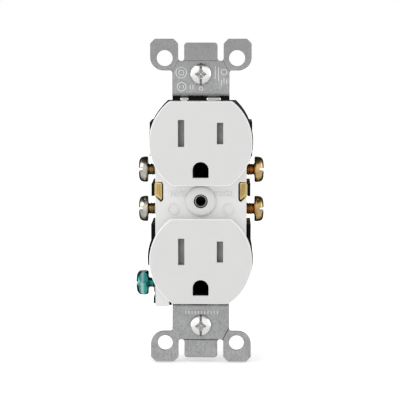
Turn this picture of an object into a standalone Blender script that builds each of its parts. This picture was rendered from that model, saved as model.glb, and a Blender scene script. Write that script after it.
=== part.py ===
"""Duplex wall outlet: a white cover with two faces, a black back body and a steel mounting strap.

The strap's ends carry captive mounting screws.  Two brass contact strips hold the blade grips, the
break-off tabs and the terminal screws.  A spring-returned shutter closes the blade slots of each face.

Frame: +Z runs up along the strap, the faces look along -Y, and +Y goes into the wall.  The origin is midway
between the two mounting screws, on the rear plane of the strap's ends.  All lengths below are millimetres,
which the helpers turn into metres.
"""

import math

import bmesh
import bpy
from mathutils import Matrix, Vector

MM = 0.001
GAP = 0.3  # left between pieces that touch
THROUGH = 1.0  # how far a cutter runs past the face that it opens

# Spacings set by the wiring-device standard
SCREW_PITCH = 83.34
FACE_PITCH = 38.9
BLADE_X = 6.35
SLOT_RISE = 3.05  # blade slots above the centre of their face
GROUND_DROP = 8.9  # ground pin below the centre of its face
UPPER, LOWER = FACE_PITCH / 2, -FACE_PITCH / 2
FACE_CENTRES = {"upper": UPPER, "lower": LOWER}
SIDES = {"neutral": -1, "hot": 1}

# Cover
FACE_FRONT = -6.5
COVER_REAR = -0.5
FACE_RADIUS = 16.9
FACE_FLAT = 14.15
COVER_WALL = 1.6
FACE_EDGE = 0.35
WAIST_FRONT = -2.3
WAIST_HALF = 15.0
BOSS_FRONT = -3.5
BOSS_RADIUS = 4.85
BOSS_BORE = 2.3
SLOT_WIDTH = 2.0
NEUTRAL_SLOT = 8.7
HOT_SLOT = 7.0
GROUND_WIDTH = 5.26
NOTCH_IN = 12.7
NOTCH_Z = (0.25, 6.4)
CORNER_X = (-15.0, -10.5)
CORNER_Z = (-34.9, -24.0)
LATCHES = ((-6.5, -4.5), (2.2, 6.2))
LATCH_Z = (33.3, 34.15)
LATCH_FRONT = -1.6
LATCH_REAR = 5.4
HOOK_FRONT = 4.2
HOOK_IN = 32.2

# Back body
BODY_FRONT = -0.2
BODY_BACK = 20.5
BODY_FLOOR = 18.8
BODY_RADIUS = 17.25
BODY_FLAT = 13.55
BODY_WALL = 1.7
BODY_WAIST = 14.9
WAIST_CAVITY = 12.9
POST_RADIUS = 4.2
BARRIER_DEPTH = (BODY_FRONT + 0.1, BODY_BACK - 1.1)
BARRIER_ROOT = 13.0
BARRIERS = ((16.9, 14.6, 25.8), (16.35, 1.4, 5.5), (16.5, -13.5, -8.0))  # outer x, lowest z, highest z
CORNER_BLOCK = ((-15.7, -9.8), (BARRIER_DEPTH[0], 14.0), (-34.5, -30.5))
TAB_POCKET = ((-18.5, -13.6), (BODY_FRONT - THROUGH, 11.0), (-32.6, -23.6))
TAB_WAY_Z = (-31.3, -24.5)
WIRE_HOLE_X = 11.4
WIRE_HOLE_RADIUS = 1.15
RELEASE_X = 9.0
POST_BORE = 2.4
EYELET_SEAT = (4.0, BODY_BACK - 1.2)  # radius, depth of its floor
EYELET_RADII = (1.7, 2.1, 3.2, 3.3)  # bore, shank, front head, rear head
EYELET_BORE_END = 15.0
RELEASE_SLOT = (1.0, 3.0)

# Strap
STRAP = 1.2
END_PLANE = -0.6
INNER_PLANE = 1.6
WEB_Z = 35.1
BEND = 0.9
NECK_HALF = 9.4
EAR_OUT = 16.6
EAR_HOLE_X = 11.85
MOUNT_HOLE = (1.0, 2.2)  # half length of its straight part, radius
LATCH_HOLE_Z = (32.9, 34.45)
EAR_CORNER = 4.4
EAR_CHAMFER = 1.5
NECK_FILLET = 0.8
TAB_CORNER = 1.0
BREAK_SLOT_X = (5.45, 7.45)
# For the top (1) and bottom (-1) ends: outer and inner reach of the ears, height and radius
# of their holes, end of the break slots, tip of the middle tab
ENDS = {1: (53.15, 42.8, 46.85, 2.63, 45.9, 51.9), -1: (53.8, 43.6, 47.55, 2.5, 46.4, 52.5)}
NARROW_HALF = 3.3
BROAD_HALF = 5.6
STRAP_INNER_REAR = INNER_PLANE + STRAP / 2
# Height and half width along the run between the ends, from the top down
INNER_RUN = (
    (30.6, NECK_HALF),
    (28.2, NARROW_HALF),
    (17.0, NARROW_HALF),
    (16.4, BROAD_HALF),
    (-9.6, BROAD_HALF),
    (-10.4, NARROW_HALF),
    (-22.0, NARROW_HALF),
    (-22.6, BROAD_HALF),
    (-30.0, BROAD_HALF),
    (-30.6, NECK_HALF),
)

# Contacts
PLATE_X = (14.3, 15.1)
PLATE_Y = (0.6, 13.2)
PLATE_Z = (SLOT_RISE - 15.75, SLOT_RISE + 15.75)
WINDOW_X = (12.5, 15.4)
WINDOW_REAR = 13.5
WINDOW_Z = (SLOT_RISE - 18.85, SLOT_RISE + 18.85)
LEAF = 0.6
GRIP_BASE = 12.4
GRIP_HALF = 4.3
ARM_Z = {"upper": (15.5, 21.5), "lower": (-15.4, -9.4)}  # from the side plate to the grips
CLIP = 0.4
RIVET_RISE = 4.65  # ground contact's rivet above the ground pin
RIVET_HOLE = 1.5
PIN_WAY = 3.1  # radius of the ground pin's way, which clears the foot of the D as well
PIN_WAY_DROP = 0.45

# Terminal screws
SCREW_DEPTH = 8.0
SCREW_Z = {"upper": SLOT_RISE + 6.6, "lower": SLOT_RISE - 6.6}
SCREW_HEAD_X = 17.8
SCREW_HEAD = 4.3
SCREW_HEAD_RISE = 3.1
SCREW_SLOT = (1.2, 1.4)  # width, depth
SCREW_LENGTH = 5.3
SHANK = 1.75
SHANK_CHAMFER = 0.4
HEAD_CLEARANCE = SCREW_HEAD + 0.35

# Ground screw and its tab on the strap
GROUND_HEAD = (-17.6, 5.5, -28.2)  # centre of the head's underside
GROUND_AXIS = Vector((-1, 0, 0))
GROUND_UP = Vector((0, 0, 1))
GROUND_TAB_OFFSET = 1.9
GROUND_TAB_Y = 9.8
GROUND_TAB_HALF = 3.4
GROUND_ARM = ((-15.4, -5.0), (-30.9, -25.2))
ACROSS_FLATS = 7.9
GROUND_SLOT = (1.0, 1.1)
GROUND_HEAD_RISE = 3.7
GROUND_LENGTH = 7.0

# Mounting screws
MOUNT_HEAD = 3.45
MOUNT_RISE = 1.9
MOUNT_SEAT = -1.5
MOUNT_LENGTH = 19.0
MOUNT_SLOT = (0.7, 0.75)
DRIVE = (3.0, 1.5, 1.2)  # length of a wing, width, depth
RETAINER_Y = (3.0, 3.8)
RETAINER_HALF = 4.75
RETAINER_CORNER = 0.8

# Shutters
SHUTTER_TRAVEL = 2.6
SHUTTER_Y = (-4.6, -3.0)
SHUTTER_HALF = 5.0
CARRIER_HALF_X = 11.4
CARRIER_HALF_Z = 6.0
CARRIER_PLATE = (-2.7, -1.3)
SPRING_Y = -3.8
SPRING_X = (-2.1, 1.45)
SPRING_RADIUS = 0.6
SPRING_WIRE = 0.13
SPRING_TURNS = 4

# Colour, roughness and metallic value of each material
FINISHES = {
    "white_plastic": ((0.74, 0.74, 0.73), 0.35, 0.0),
    "black_plastic": ((0.012, 0.012, 0.013), 0.45, 0.0),
    "grey_plastic": ((0.12, 0.115, 0.11), 0.5, 0.0),
    "galvanized_steel": ((0.42, 0.43, 0.43), 0.45, 1.0),
    "zinc_plated_steel": ((0.75, 0.75, 0.73), 0.3, 1.0),
    "nickel_plated_steel": ((0.66, 0.64, 0.58), 0.28, 1.0),
    "brass": ((0.72, 0.5, 0.2), 0.32, 1.0),
    "brass_plated_steel": ((0.7, 0.47, 0.18), 0.3, 1.0),
    "green_steel": ((0.02, 0.3, 0.24), 0.3, 0.6),
    "spring_steel": ((0.5, 0.5, 0.5), 0.3, 1.0),
    "vulcanized_fibre": ((0.35, 0.12, 0.07), 0.7, 0.0),
}


# ---------------------------------------------------------------- scene and materials


def clear_scene():
    for obj in list(bpy.data.objects):
        bpy.data.objects.remove(obj, do_unlink=True)


def new_collection(name):
    collection = bpy.data.collections.new(name)
    bpy.context.scene.collection.children.link(collection)
    return collection


def new_material(name, color, roughness, metallic):
    material = bpy.data.materials.new(name)
    material.use_nodes = True
    shader = material.node_tree.nodes["Principled BSDF"]
    shader.inputs["Base Color"].default_value = (*color, 1.0)
    shader.inputs["Roughness"].default_value = roughness
    shader.inputs["Metallic"].default_value = metallic
    material.diffuse_color = (*color, 1.0)
    return material


clear_scene()
PARTS = new_collection("duplex_outlet")
CUTTERS = new_collection("cutters")
MATERIALS = {name: new_material(name, *finish) for name, finish in FINISHES.items()}


# ---------------------------------------------------------------- shapes


def mesh_object(name, bm):
    mesh = bpy.data.meshes.new(name)
    bm.to_mesh(mesh)
    bm.free()
    obj = bpy.data.objects.new(name, mesh)
    PARTS.objects.link(obj)
    return obj


def block(name, x, y, z):
    """A box between the two limits given along each axis."""
    limits = [sorted(pair) for pair in (x, y, z)]
    size = Vector([high - low for low, high in limits]) * MM
    centre = Vector([(low + high) / 2 for low, high in limits]) * MM
    bm = bmesh.new()
    bmesh.ops.create_cube(bm, size=1.0)
    bmesh.ops.scale(bm, vec=size, verts=bm.verts)
    bmesh.ops.translate(bm, vec=centre, verts=bm.verts)
    return mesh_object(name, bm)


def as_mesh(curve_object):
    """The curve object's shape as a welded mesh object in world coordinates."""
    bpy.context.view_layer.update()
    graph = bpy.context.evaluated_depsgraph_get()
    mesh = bpy.data.meshes.new_from_object(curve_object.evaluated_get(graph))
    mesh.transform(curve_object.matrix_world)
    name = curve_object.name
    bpy.data.objects.remove(curve_object, do_unlink=True)
    bm = bmesh.new()
    bm.from_mesh(mesh)
    bpy.data.meshes.remove(mesh)
    bmesh.ops.remove_doubles(bm, verts=bm.verts, dist=0.001 * MM)
    bmesh.ops.recalc_face_normals(bm, faces=bm.faces)
    return mesh_object(name, bm)


# What a flat outline's own x, y and z axes become for each plane that it can be drawn in
PLANES = {
    "xz": Matrix(((1, 0, 0), (0, 0, -1), (0, 1, 0))),
    "xy": Matrix(((1, 0, 0), (0, 1, 0), (0, 0, 1))),
}
PLANE_NORMALS = {"xz": Vector((0, 1, 0)), "xy": Vector((0, 0, 1))}


def prism(name, outlines, span, plane="xz"):
    """Flat closed outlines extruded across their plane over a span; an outline inside another is a hole."""
    curve = bpy.data.curves.new(name, "CURVE")
    curve.dimensions = "2D"
    curve.fill_mode = "BOTH"
    curve.extrude = (span[1] - span[0]) / 2 * MM
    for outline in outlines:
        spline = curve.splines.new("POLY")
        spline.points.add(len(outline) - 1)
        spline.use_cyclic_u = True
        for point, (u, v) in zip(spline.points, outline):
            point.co = (u * MM, v * MM, 0, 1)
    obj = bpy.data.objects.new(name, curve)
    PARTS.objects.link(obj)
    middle = PLANE_NORMALS[plane] * (span[0] + span[1]) / 2 * MM
    obj.matrix_world = Matrix.Translation(middle) @ PLANES[plane].to_4x4()
    return as_mesh(obj)


def arc(x, z, radius, start, end, steps):
    """Points on an arc, with its angles in degrees from +X towards +Z."""
    angles = [math.radians(start + (end - start) * i / steps) for i in range(steps + 1)]
    return [(x + radius * math.cos(a), z + radius * math.sin(a)) for a in angles]


def circle(x, z, radius, steps=20):
    return arc(x, z, radius, 0, 360, steps)[:-1]


def obround(x, z, half, radius, steps=8):
    """A slot with round ends, its end centres at half to each side of (x, z)."""
    right = arc(x + half, z, radius, -90, 90, steps)
    return right + arc(x - half, z, radius, 90, 270, steps)


def face_outline(z, radius, flat, steps=18):
    """A circle cut by a flat above and a flat below its centre."""
    half = math.degrees(math.asin(flat / radius))
    return arc(0, z, radius, -half, half, steps) + arc(0, z, radius, 180 - half, 180 + half, steps)


def turned(name, profile, axis, origin, steps=24, ring=False):
    """A profile of (radius, height) points, top to bottom, turned about an axis through the origin."""
    bm = bmesh.new()
    points = [bm.verts.new((r * MM, 0, h * MM)) for r, h in profile]
    for first, second in zip(points, points[1:]):
        bm.edges.new((first, second))
    if ring:
        bm.edges.new((points[-1], points[0]))
    obj = mesh_object(name, bm)
    turn = obj.modifiers.new("Turn", "SCREW")
    turn.steps = turn.render_steps = steps
    turn.use_merge_vertices = True
    turn.merge_threshold = 0.001 * MM
    rotation = Vector((0, 0, 1)).rotation_difference(axis)
    obj.matrix_world = Matrix.Translation(Vector(origin) * MM) @ rotation.to_matrix().to_4x4()
    return obj


def rod(name, radius, start, end, steps=24):
    """A cylinder between two points."""
    start, end = Vector(start) * MM, Vector(end) * MM
    axis = end - start
    size = radius * MM
    bm = bmesh.new()
    bmesh.ops.create_cone(bm, cap_ends=True, segments=steps, radius1=size, radius2=size, depth=axis.length)
    turn = Vector((0, 0, 1)).rotation_difference(axis).to_matrix().to_4x4()
    bm.transform(Matrix.Translation((start + end) / 2) @ turn)
    return mesh_object(name, bm)


def bent_sheet(name, path, span, thickness):
    """Sheet metal whose cross-section follows a path of (x, y) points, running along Z over the span."""
    bm = bmesh.new()
    verts = [bm.verts.new((x * MM, y * MM, span[0] * MM)) for x, y in path]
    edges = [bm.edges.new(pair) for pair in zip(verts, verts[1:])]
    grown = bmesh.ops.extrude_edge_only(bm, edges=edges)["geom"]
    top = [item for item in grown if isinstance(item, bmesh.types.BMVert)]
    bmesh.ops.translate(bm, vec=(0, 0, (span[1] - span[0]) * MM), verts=top)
    obj = mesh_object(name, bm)
    solid = obj.modifiers.new("Thickness", "SOLIDIFY")
    solid.thickness = thickness * MM
    solid.offset = 0.0
    solid.use_even_offset = True
    return obj


def coil(name, centre, x, radius, wire, turns, steps=10):
    """A helical spring along X."""
    curve = bpy.data.curves.new(name, "CURVE")
    curve.dimensions = "3D"
    curve.bevel_depth = wire * MM
    curve.bevel_resolution = 2
    curve.use_fill_caps = True
    spline = curve.splines.new("POLY")
    count = turns * steps
    spline.points.add(count)
    for i, point in enumerate(spline.points):
        angle = 2 * math.pi * i / steps
        along = x[0] + (x[1] - x[0]) * i / count
        offset = Vector((along, centre[0] + radius * math.cos(angle), centre[1] + radius * math.sin(angle)))
        point.co = (*(offset * MM), 1)
    obj = bpy.data.objects.new(name, curve)
    PARTS.objects.link(obj)
    return as_mesh(obj)


# ---------------------------------------------------------------- working on shapes


def combine(target, tool, operation):
    modifier = target.modifiers.new(tool.name, "BOOLEAN")
    modifier.operation = operation
    modifier.object = tool
    modifier.solver = "EXACT"
    PARTS.objects.unlink(tool)
    CUTTERS.objects.link(tool)
    tool.hide_render = True
    tool.display_type = "WIRE"


def cut(target, *tools):
    for tool in tools:
        combine(target, tool, "DIFFERENCE")


def fuse(target, *tools):
    for tool in tools:
        combine(target, tool, "UNION")


def bevel(obj, width, segments=2, limit=50):
    modifier = obj.modifiers.new("Edge", "BEVEL")
    modifier.width = width * MM
    modifier.segments = segments
    modifier.limit_method = "ANGLE"
    modifier.angle_limit = math.radians(limit)


def set_origin(obj, point):
    """Moves the object's origin to a point and leaves its shape where it is."""
    point = Vector(point) * MM
    obj.data.transform(Matrix.Translation(-point))
    obj.location = point


def finish(obj, material):
    obj.data.materials.append(MATERIALS[material])
    obj.data.shade_smooth()
    obj.data.set_sharp_from_angle(angle=math.radians(35))
    return obj


# ---------------------------------------------------------------- cover


def ground_outline(z, shrink=0.0):
    """The D of a ground hole: a half circle above a square foot."""
    radius = GROUND_WIDTH / 2 - shrink
    foot = z - GROUND_WIDTH / 2 + shrink
    return arc(0, z, radius, 0, 180, 10) + [(-radius, foot), (radius, foot)]


def make_cover():
    cover = block("face_cover", (-WAIST_HALF, WAIST_HALF), (WAIST_FRONT, COVER_REAR), (LOWER, UPPER))
    for name, z in FACE_CENTRES.items():
        face = prism(f"{name}_face", [face_outline(z, FACE_RADIUS, FACE_FLAT)], (FACE_FRONT, COVER_REAR))
        bevel(face, FACE_EDGE)
        fuse(cover, face)
    fuse(cover, rod("boss", BOSS_RADIUS, (0, COVER_REAR - GAP, 0), (0, BOSS_FRONT, 0), 32))
    fuse(cover, block("corner", CORNER_X, (WAIST_FRONT, COVER_REAR), CORNER_Z))
    for name, z in FACE_CENTRES.items():
        cavity = face_outline(z, FACE_RADIUS - COVER_WALL, FACE_FLAT - COVER_WALL)
        cut(cover, prism(f"{name}_cavity", [cavity], (FACE_FRONT + COVER_WALL, COVER_REAR + THROUGH)))
        through = (FACE_FRONT - THROUGH, FACE_FRONT + COVER_WALL + THROUGH)
        for side, height in ((-1, NEUTRAL_SLOT), (1, HOT_SLOT)):
            x = side * BLADE_X
            slot_z = z + SLOT_RISE
            cut(
                cover,
                block(
                    f"{name}_slot",
                    (x - SLOT_WIDTH / 2, x + SLOT_WIDTH / 2),
                    through,
                    (slot_z - height / 2, slot_z + height / 2),
                ),
            )
        cut(cover, prism(f"{name}_ground_hole", [ground_outline(z - GROUND_DROP)], through))
    cut(cover, rod("bore", BOSS_BORE, (0, COVER_REAR + THROUGH, 0), (0, BOSS_FRONT - THROUGH, 0), 24))
    for side in SIDES.values():
        x = (side * NOTCH_IN, side * (WAIST_HALF + THROUGH))
        cut(cover, block("notch", x, (WAIST_FRONT - THROUGH, COVER_REAR + THROUGH), NOTCH_Z))
    for end in (-1, 1):
        for x in LATCHES:
            inner, outer = LATCH_Z
            arm = block("latch_arm", x, (LATCH_FRONT, LATCH_REAR), (end * inner, end * outer))
            root_z = (end * (inner - 0.5), end * outer)
            root = block("latch_root", x, (LATCH_FRONT, COVER_REAR - 0.1), root_z)
            hook_z = (end * HOOK_IN, end * (inner + 0.4))
            hook = block("latch_hook", x, (HOOK_FRONT, LATCH_REAR), hook_z)
            fuse(cover, arm, root, hook)
    return finish(cover, "white_plastic")


# ---------------------------------------------------------------- back body


def make_body():
    depth = (BODY_FRONT, BODY_BACK)
    body = block("back_body", (-BODY_WAIST, BODY_WAIST), depth, (LOWER + 2, UPPER - 2))
    for name, z in FACE_CENTRES.items():
        bulge = prism(f"{name}_bulge", [face_outline(z, BODY_RADIUS, BODY_FLAT)], depth)
        fuse(body, bulge)
    for side in SIDES.values():
        for x, low, high in BARRIERS:
            fuse(body, block("barrier", (side * BARRIER_ROOT, side * x), BARRIER_DEPTH, (low, high)))
    fuse(body, block("ground_corner", *CORNER_BLOCK))

    for name, z in FACE_CENTRES.items():
        cavity = face_outline(z, BODY_RADIUS - BODY_WALL, BODY_FLAT - BODY_WALL + 0.05)
        cut(body, prism(f"{name}_hollow", [cavity], (BODY_FRONT - THROUGH, BODY_FLOOR)))
    waist = (-WAIST_CAVITY, WAIST_CAVITY)
    cut(body, block("waist_hollow", waist, (BODY_FRONT - THROUGH, BODY_FLOOR), (LOWER + 5, UPPER - 5)))
    for side in SIDES.values():
        x = (side * WINDOW_X[0], side * WINDOW_X[1])
        cut(body, block("plate_window", x, (BODY_FRONT - THROUGH, WINDOW_REAR), WINDOW_Z))
        for z in SCREW_Z.values():
            start = (side * (PLATE_X[1] + 0.05), SCREW_DEPTH, z)
            end = (side * (BODY_RADIUS + THROUGH), SCREW_DEPTH, z)
            cut(body, rod("head_room", HEAD_CLEARANCE, start, end))
    make_ground_pocket(body)

    fuse(body, rod("post", POST_RADIUS, (0, BODY_FLOOR + 0.5, 0), (0, STRAP_INNER_REAR + GAP, 0)))
    cut(body, rod("post_bore", POST_BORE, (0, BODY_BACK + THROUGH, 0), (0, 0, 0)))
    seat_radius, seat_floor = EYELET_SEAT
    cut(body, rod("eyelet_seat", seat_radius, (0, BODY_BACK + THROUGH, 0), (0, seat_floor, 0)))
    cut_strap_ways(body)
    for side in SIDES.values():
        for z in SCREW_Z.values():
            x = side * WIRE_HOLE_X
            rear, front = (x, BODY_BACK + THROUGH, z), (x, BODY_FLOOR - THROUGH, z)
            cut(body, rod("wire_hole", WIRE_HOLE_RADIUS, rear, front, 12))
            x = side * RELEASE_X
            through = (BODY_FLOOR - THROUGH, BODY_BACK + THROUGH)
            half_x, half_z = RELEASE_SLOT[0] / 2, RELEASE_SLOT[1] / 2
            slot = ((x - half_x, x + half_x), through, (z - half_z, z + half_z))
            cut(body, block("release_slot", *slot))
    return finish(body, "black_plastic")


def make_ground_pocket(body):
    """Opens the lower left corner for the ground screw's head and the strap's tab."""
    cut(body, block("tab_pocket", *TAB_POCKET))
    head = Vector(GROUND_HEAD)
    cut(body, rod("ground_shank_way", SHANK + 0.4, head - GROUND_AXIS, head - GROUND_AXIS * 12))


def cut_strap_ways(body):
    """Openings for the strap and the cover's latch hooks in the end walls, and for the ground tab."""
    strap_way = (BODY_FRONT - THROUGH, STRAP_INNER_REAR + GAP)
    for end in (-1, 1):
        half = NECK_HALF + GAP
        cut(body, block("strap_way", (-half, half), strap_way, (end * 30.0, end * 36.0)))
        for x in LATCHES:
            window = (x[0] - GAP, x[1] + GAP)
            depth = (HOOK_FRONT - GAP, LATCH_REAR + GAP)
            cut(body, block("hook_window", window, depth, (end * 31.0, end * 34.0)))
    cut(body, block("tab_way", (TAB_POCKET[0][0], CORNER_BLOCK[0][1]), strap_way, TAB_WAY_Z))


# ---------------------------------------------------------------- strap


def quarter(points, x_sign, z_sign):
    """A quarter outline of an end, mirrored as told and kept in the order that goes round the strap."""
    mirrored = [(x * x_sign, z * z_sign) for x, z in points]
    return mirrored if x_sign * z_sign > 0 else mirrored[::-1]


def end_quarter(end):
    """The strap's top or bottom end from its neck out round the ear to the middle tab, for +X and +Z."""
    ear_top, ear_bottom, _, _, slot_end, tab_top = ENDS[end]
    slot_in, slot_out = BREAK_SLOT_X
    slot_radius = (slot_out - slot_in) / 2
    slot_x = (slot_in + slot_out) / 2
    fillet = NECK_FILLET
    return (
        [(NECK_HALF, WEB_Z - STRAP)]
        + arc(NECK_HALF + fillet, ear_bottom - fillet, fillet, 180, 90, 4)
        + arc(EAR_OUT - EAR_CORNER, ear_bottom + EAR_CORNER, EAR_CORNER, -90, 0, 7)
        + [(EAR_OUT, ear_top - EAR_CHAMFER), (EAR_OUT - EAR_CHAMFER, ear_top)]
        + [(slot_out + EAR_CHAMFER, ear_top), (slot_out, ear_top - EAR_CHAMFER)]
        + arc(slot_x, slot_end + slot_radius, slot_radius, 0, -180, 6)
        + arc(slot_in - TAB_CORNER, tab_top - TAB_CORNER, TAB_CORNER, 0, 90, 4)
    )


def inner_run(side):
    """The strap's edge between the ends, from the top end down, narrow between the blade grips."""
    return [(side * half, z) for z, half in INNER_RUN]


def strap_outline():
    upper, lower = end_quarter(1), end_quarter(-1)
    top = quarter(upper, 1, 1) + quarter(upper, -1, 1)
    bottom = quarter(lower, -1, -1) + quarter(lower, 1, -1)
    return top + inner_run(-1) + bottom + inner_run(1)[::-1]


def strap_section():
    """The strap's section in depth and height: its ends lie forward of the run between them."""
    upper = (
        [(END_PLANE, ENDS[-1][0] + THROUGH)]
        + arc(END_PLANE + BEND, WEB_Z + BEND, BEND, 180, 270, 4)
        + arc(INNER_PLANE - BEND, WEB_Z - BEND, BEND, 90, 0, 4)
    )
    return upper + [(y, -z) for y, z in reversed(upper)]


def make_strap():
    strap = bent_sheet("mounting_strap", strap_section(), (-18.0, 18.0), STRAP)
    # The section was drawn in (x, y) and run along z; this turn makes it (y, z) run along x.
    strap.data.transform(Matrix(((0, 0, 1, 0), (1, 0, 0, 0), (0, 1, 0, 0), (0, 0, 0, 1))))
    holes = [circle(0, 0, POST_BORE)]
    for end in (-1, 1):
        holes.append(obround(0, end * SCREW_PITCH / 2, *MOUNT_HOLE))
        height, radius = ENDS[end][2:4]
        holes += [circle(side * EAR_HOLE_X, end * height, radius) for side in (-1, 1)]
        for low, high in LATCHES:
            low, high = low - GAP, high + GAP
            near, far = [end * z for z in LATCH_HOLE_Z]
            holes.append([(low, near), (high, near), (high, far), (low, far)])
    for z in FACE_CENTRES.values():
        holes.append(circle(0, z - GROUND_DROP - PIN_WAY_DROP, PIN_WAY))
        holes.append(circle(0, z - GROUND_DROP + RIVET_RISE, RIVET_HOLE, 14))
    blank = prism("blank", [strap_outline()] + holes, (-4.0, 5.0))
    combine(strap, blank, "INTERSECT")
    run = (INNER_PLANE - STRAP / 2, STRAP_INNER_REAR)
    fuse(strap, block("ground_arm", GROUND_ARM[0], run, GROUND_ARM[1]))
    fuse(strap, ground_tab())
    head = Vector(GROUND_HEAD)
    cut(strap, rod("ground_thread", SHANK + GAP, head, head - GROUND_AXIS * 5))
    return finish(strap, "galvanized_steel")


def ground_tab():
    """The tab that the ground screw threads into, square to that screw."""
    outer = Vector(GROUND_HEAD) - GROUND_AXIS * GROUND_TAB_OFFSET
    centre = (outer - GROUND_AXIS * STRAP / 2) * MM
    depth = (INNER_PLANE - STRAP / 2, GROUND_TAB_Y)
    tab = block("ground_tab", (-STRAP / 2, STRAP / 2), depth, (-GROUND_TAB_HALF, GROUND_TAB_HALF))
    tab.data.transform(Matrix.Translation((centre.x, 0, centre.z)))
    return tab


def make_eyelet():
    """The rivet through the strap and the body's post, hollow from its front to near its rear head."""
    seat = INNER_PLANE - STRAP / 2 - GAP
    back = EYELET_SEAT[1] + GAP
    bore, shank, front_head, rear_head = EYELET_RADII
    profile = (
        [(0, -EYELET_BORE_END), (bore, -EYELET_BORE_END), (bore, -seat + LEAF), (front_head, -seat + LEAF)]
        + [(front_head, -seat), (shank, -seat), (shank, -back)]
        + [(rear_head, -back), (rear_head, -back - 0.5), (0, -back - 0.5)]
    )
    eyelet = turned("center_eyelet", profile, Vector((0, -1, 0)), (0, 0, 0))
    return finish(eyelet, "zinc_plated_steel")


# ---------------------------------------------------------------- contacts


def make_contact_strip(name, side):
    def across(low, high):
        return (side * low, side * high)

    strip = block(f"{name}_contact_strip", across(*PLATE_X), PLATE_Y, PLATE_Z)
    tab = [(15.3, 1.9), (15.3, 5.2), (14.8, 5.9), (12.9, 5.9), (12.6, 5.4), (12.6, 0.6), (13.0, 0.0)]
    outline = [(side * x, z) for x, z in tab]
    cut(strip, block("break_gap", across(14.0, 15.6), (2.2, PLATE_Y[1] + THROUGH), (0.6, 5.5)))
    fuse(strip, prism("break_off_tab", [outline], (0.2, 1.0)))
    for label, z in FACE_CENTRES.items():
        fuse(strip, blade_grip(f"{label}_grip", side, z + SLOT_RISE))
        base = (GRIP_BASE - LEAF / 2, GRIP_BASE + LEAF / 2)
        fuse(strip, block(f"{label}_arm", across(7.4, PLATE_X[1] - 0.1), base, ARM_Z[label]))
    for z in SCREW_Z.values():
        start = (side * 13, SCREW_DEPTH, z)
        cut(strip, rod("thread", SHANK + GAP, start, (side * 16, SCREW_DEPTH, z), 20))
    return finish(strip, "brass")


def blade_grip(name, side, z):
    """Two leaves that pinch a blade, open towards the face."""
    mouth = [(1.4, 0.9), (0.85, 3.0), (1.3, 6.0), (1.3, GRIP_BASE)]
    path = [(-x, y) for x, y in mouth] + mouth[::-1]
    path = [(side * BLADE_X + x, y) for x, y in path]
    return bent_sheet(name, path, (z - GRIP_HALF, z + GRIP_HALF), LEAF)


def make_ground_contact(name, z):
    """A plate behind the strap with two leaves that pinch the ground pin."""
    centre = z - GROUND_DROP
    front = STRAP_INNER_REAR + GAP
    outline = [(-4.6, centre - 2.5), (4.6, centre - 2.5), (4.6, centre + 6.4), (-4.6, centre + 6.4)]
    rivet_hole = circle(0, centre + RIVET_RISE, RIVET_HOLE, 14)
    contact = prism(f"ground_contact_{name}", [outline, rivet_hole], (front, front + LEAF))
    way_z = centre - PIN_WAY_DROP
    cut(contact, rod("pin_way", PIN_WAY, (0, front - THROUGH, way_z), (0, front + 2, way_z)))
    for side in (-1, 1):
        leaf = ((3.9, front + 0.1), (3.9, 4.2), (2.55, 7.4), (2.5, 9.4), (3.1, 12.6))
        path = [(side * x, y) for x, y in leaf]
        fuse(contact, bent_sheet("leaf", path, (centre - 2.4, centre + 2.4), LEAF))
    return finish(contact, "brass")


def make_ground_rivet(name, z):
    front = INNER_PLANE - STRAP / 2 - GAP
    rear = STRAP_INNER_REAR + GAP + LEAF + GAP
    profile = [(0, -front + 0.6), (1.4, -front + 0.5), (2.0, -front), (1.2, -front)]
    profile += [(1.2, -rear), (1.9, -rear), (1.5, -rear - 0.5), (0, -rear - 0.6)]
    place = (0, 0, z - GROUND_DROP + RIVET_RISE)
    rivet = turned(f"ground_rivet_{name}", profile, Vector((0, -1, 0)), place, 16)
    return finish(rivet, "zinc_plated_steel")


def make_wire_clip(name, side, z):
    """A spring that bites the wire pushed in from the back."""
    path = [(side * x, y) for x, y in ((12.5, 18.3), (12.5, 14.2), (8.6, 14.2), (10.5, 17.4))]
    clip = bent_sheet(name, path, (z - 2.0, z + 2.0), CLIP)
    return finish(clip, "spring_steel")


# ---------------------------------------------------------------- screws


def domed_head(radius, height, lip=0.35):
    """A screw head's profile from the middle of its dome down to its underside."""
    steps = 4
    rise = height - lip
    dome = []
    for i in range(steps + 1):
        angle = math.radians(90 * i / steps)
        dome.append((radius * math.sin(angle), lip + rise * math.cos(angle)))
    return dome + [(radius - 0.25, 0)]


def shank(length):
    """A screw's profile below its head, down to a chamfered tip."""
    tip = SHANK - SHANK_CHAMFER
    return [(SHANK, 0), (SHANK, SHANK_CHAMFER - length), (tip, -length), (0, -length)]


def make_terminal_screw(name, side, z, material):
    """A screw with a slotted pan head, whose shank threads into the contact strip."""
    rise, radius = SCREW_HEAD_RISE, SCREW_HEAD
    head = [(0, rise), (0.6 * radius, rise - 0.05), (0.8 * radius, rise - 0.25), (0.92 * radius, rise - 0.7)]
    head += [(0.98 * radius, rise - 1.3), (radius, rise / 3), (radius, 0.3), (radius - 0.25, 0)]
    place = (side * SCREW_HEAD_X, SCREW_DEPTH, z)
    screw = turned(name, head + shank(SCREW_LENGTH), Vector((side, 0, 0)), place)
    width, depth = SCREW_SLOT
    top = SCREW_HEAD_X + rise
    x = (side * (top - depth), side * (top + THROUGH))
    y = (SCREW_DEPTH - radius - THROUGH, SCREW_DEPTH + radius + THROUGH)
    cut(screw, block("slot", x, y, (z - width / 2, z + width / 2)))
    return finish(screw, material)


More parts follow.
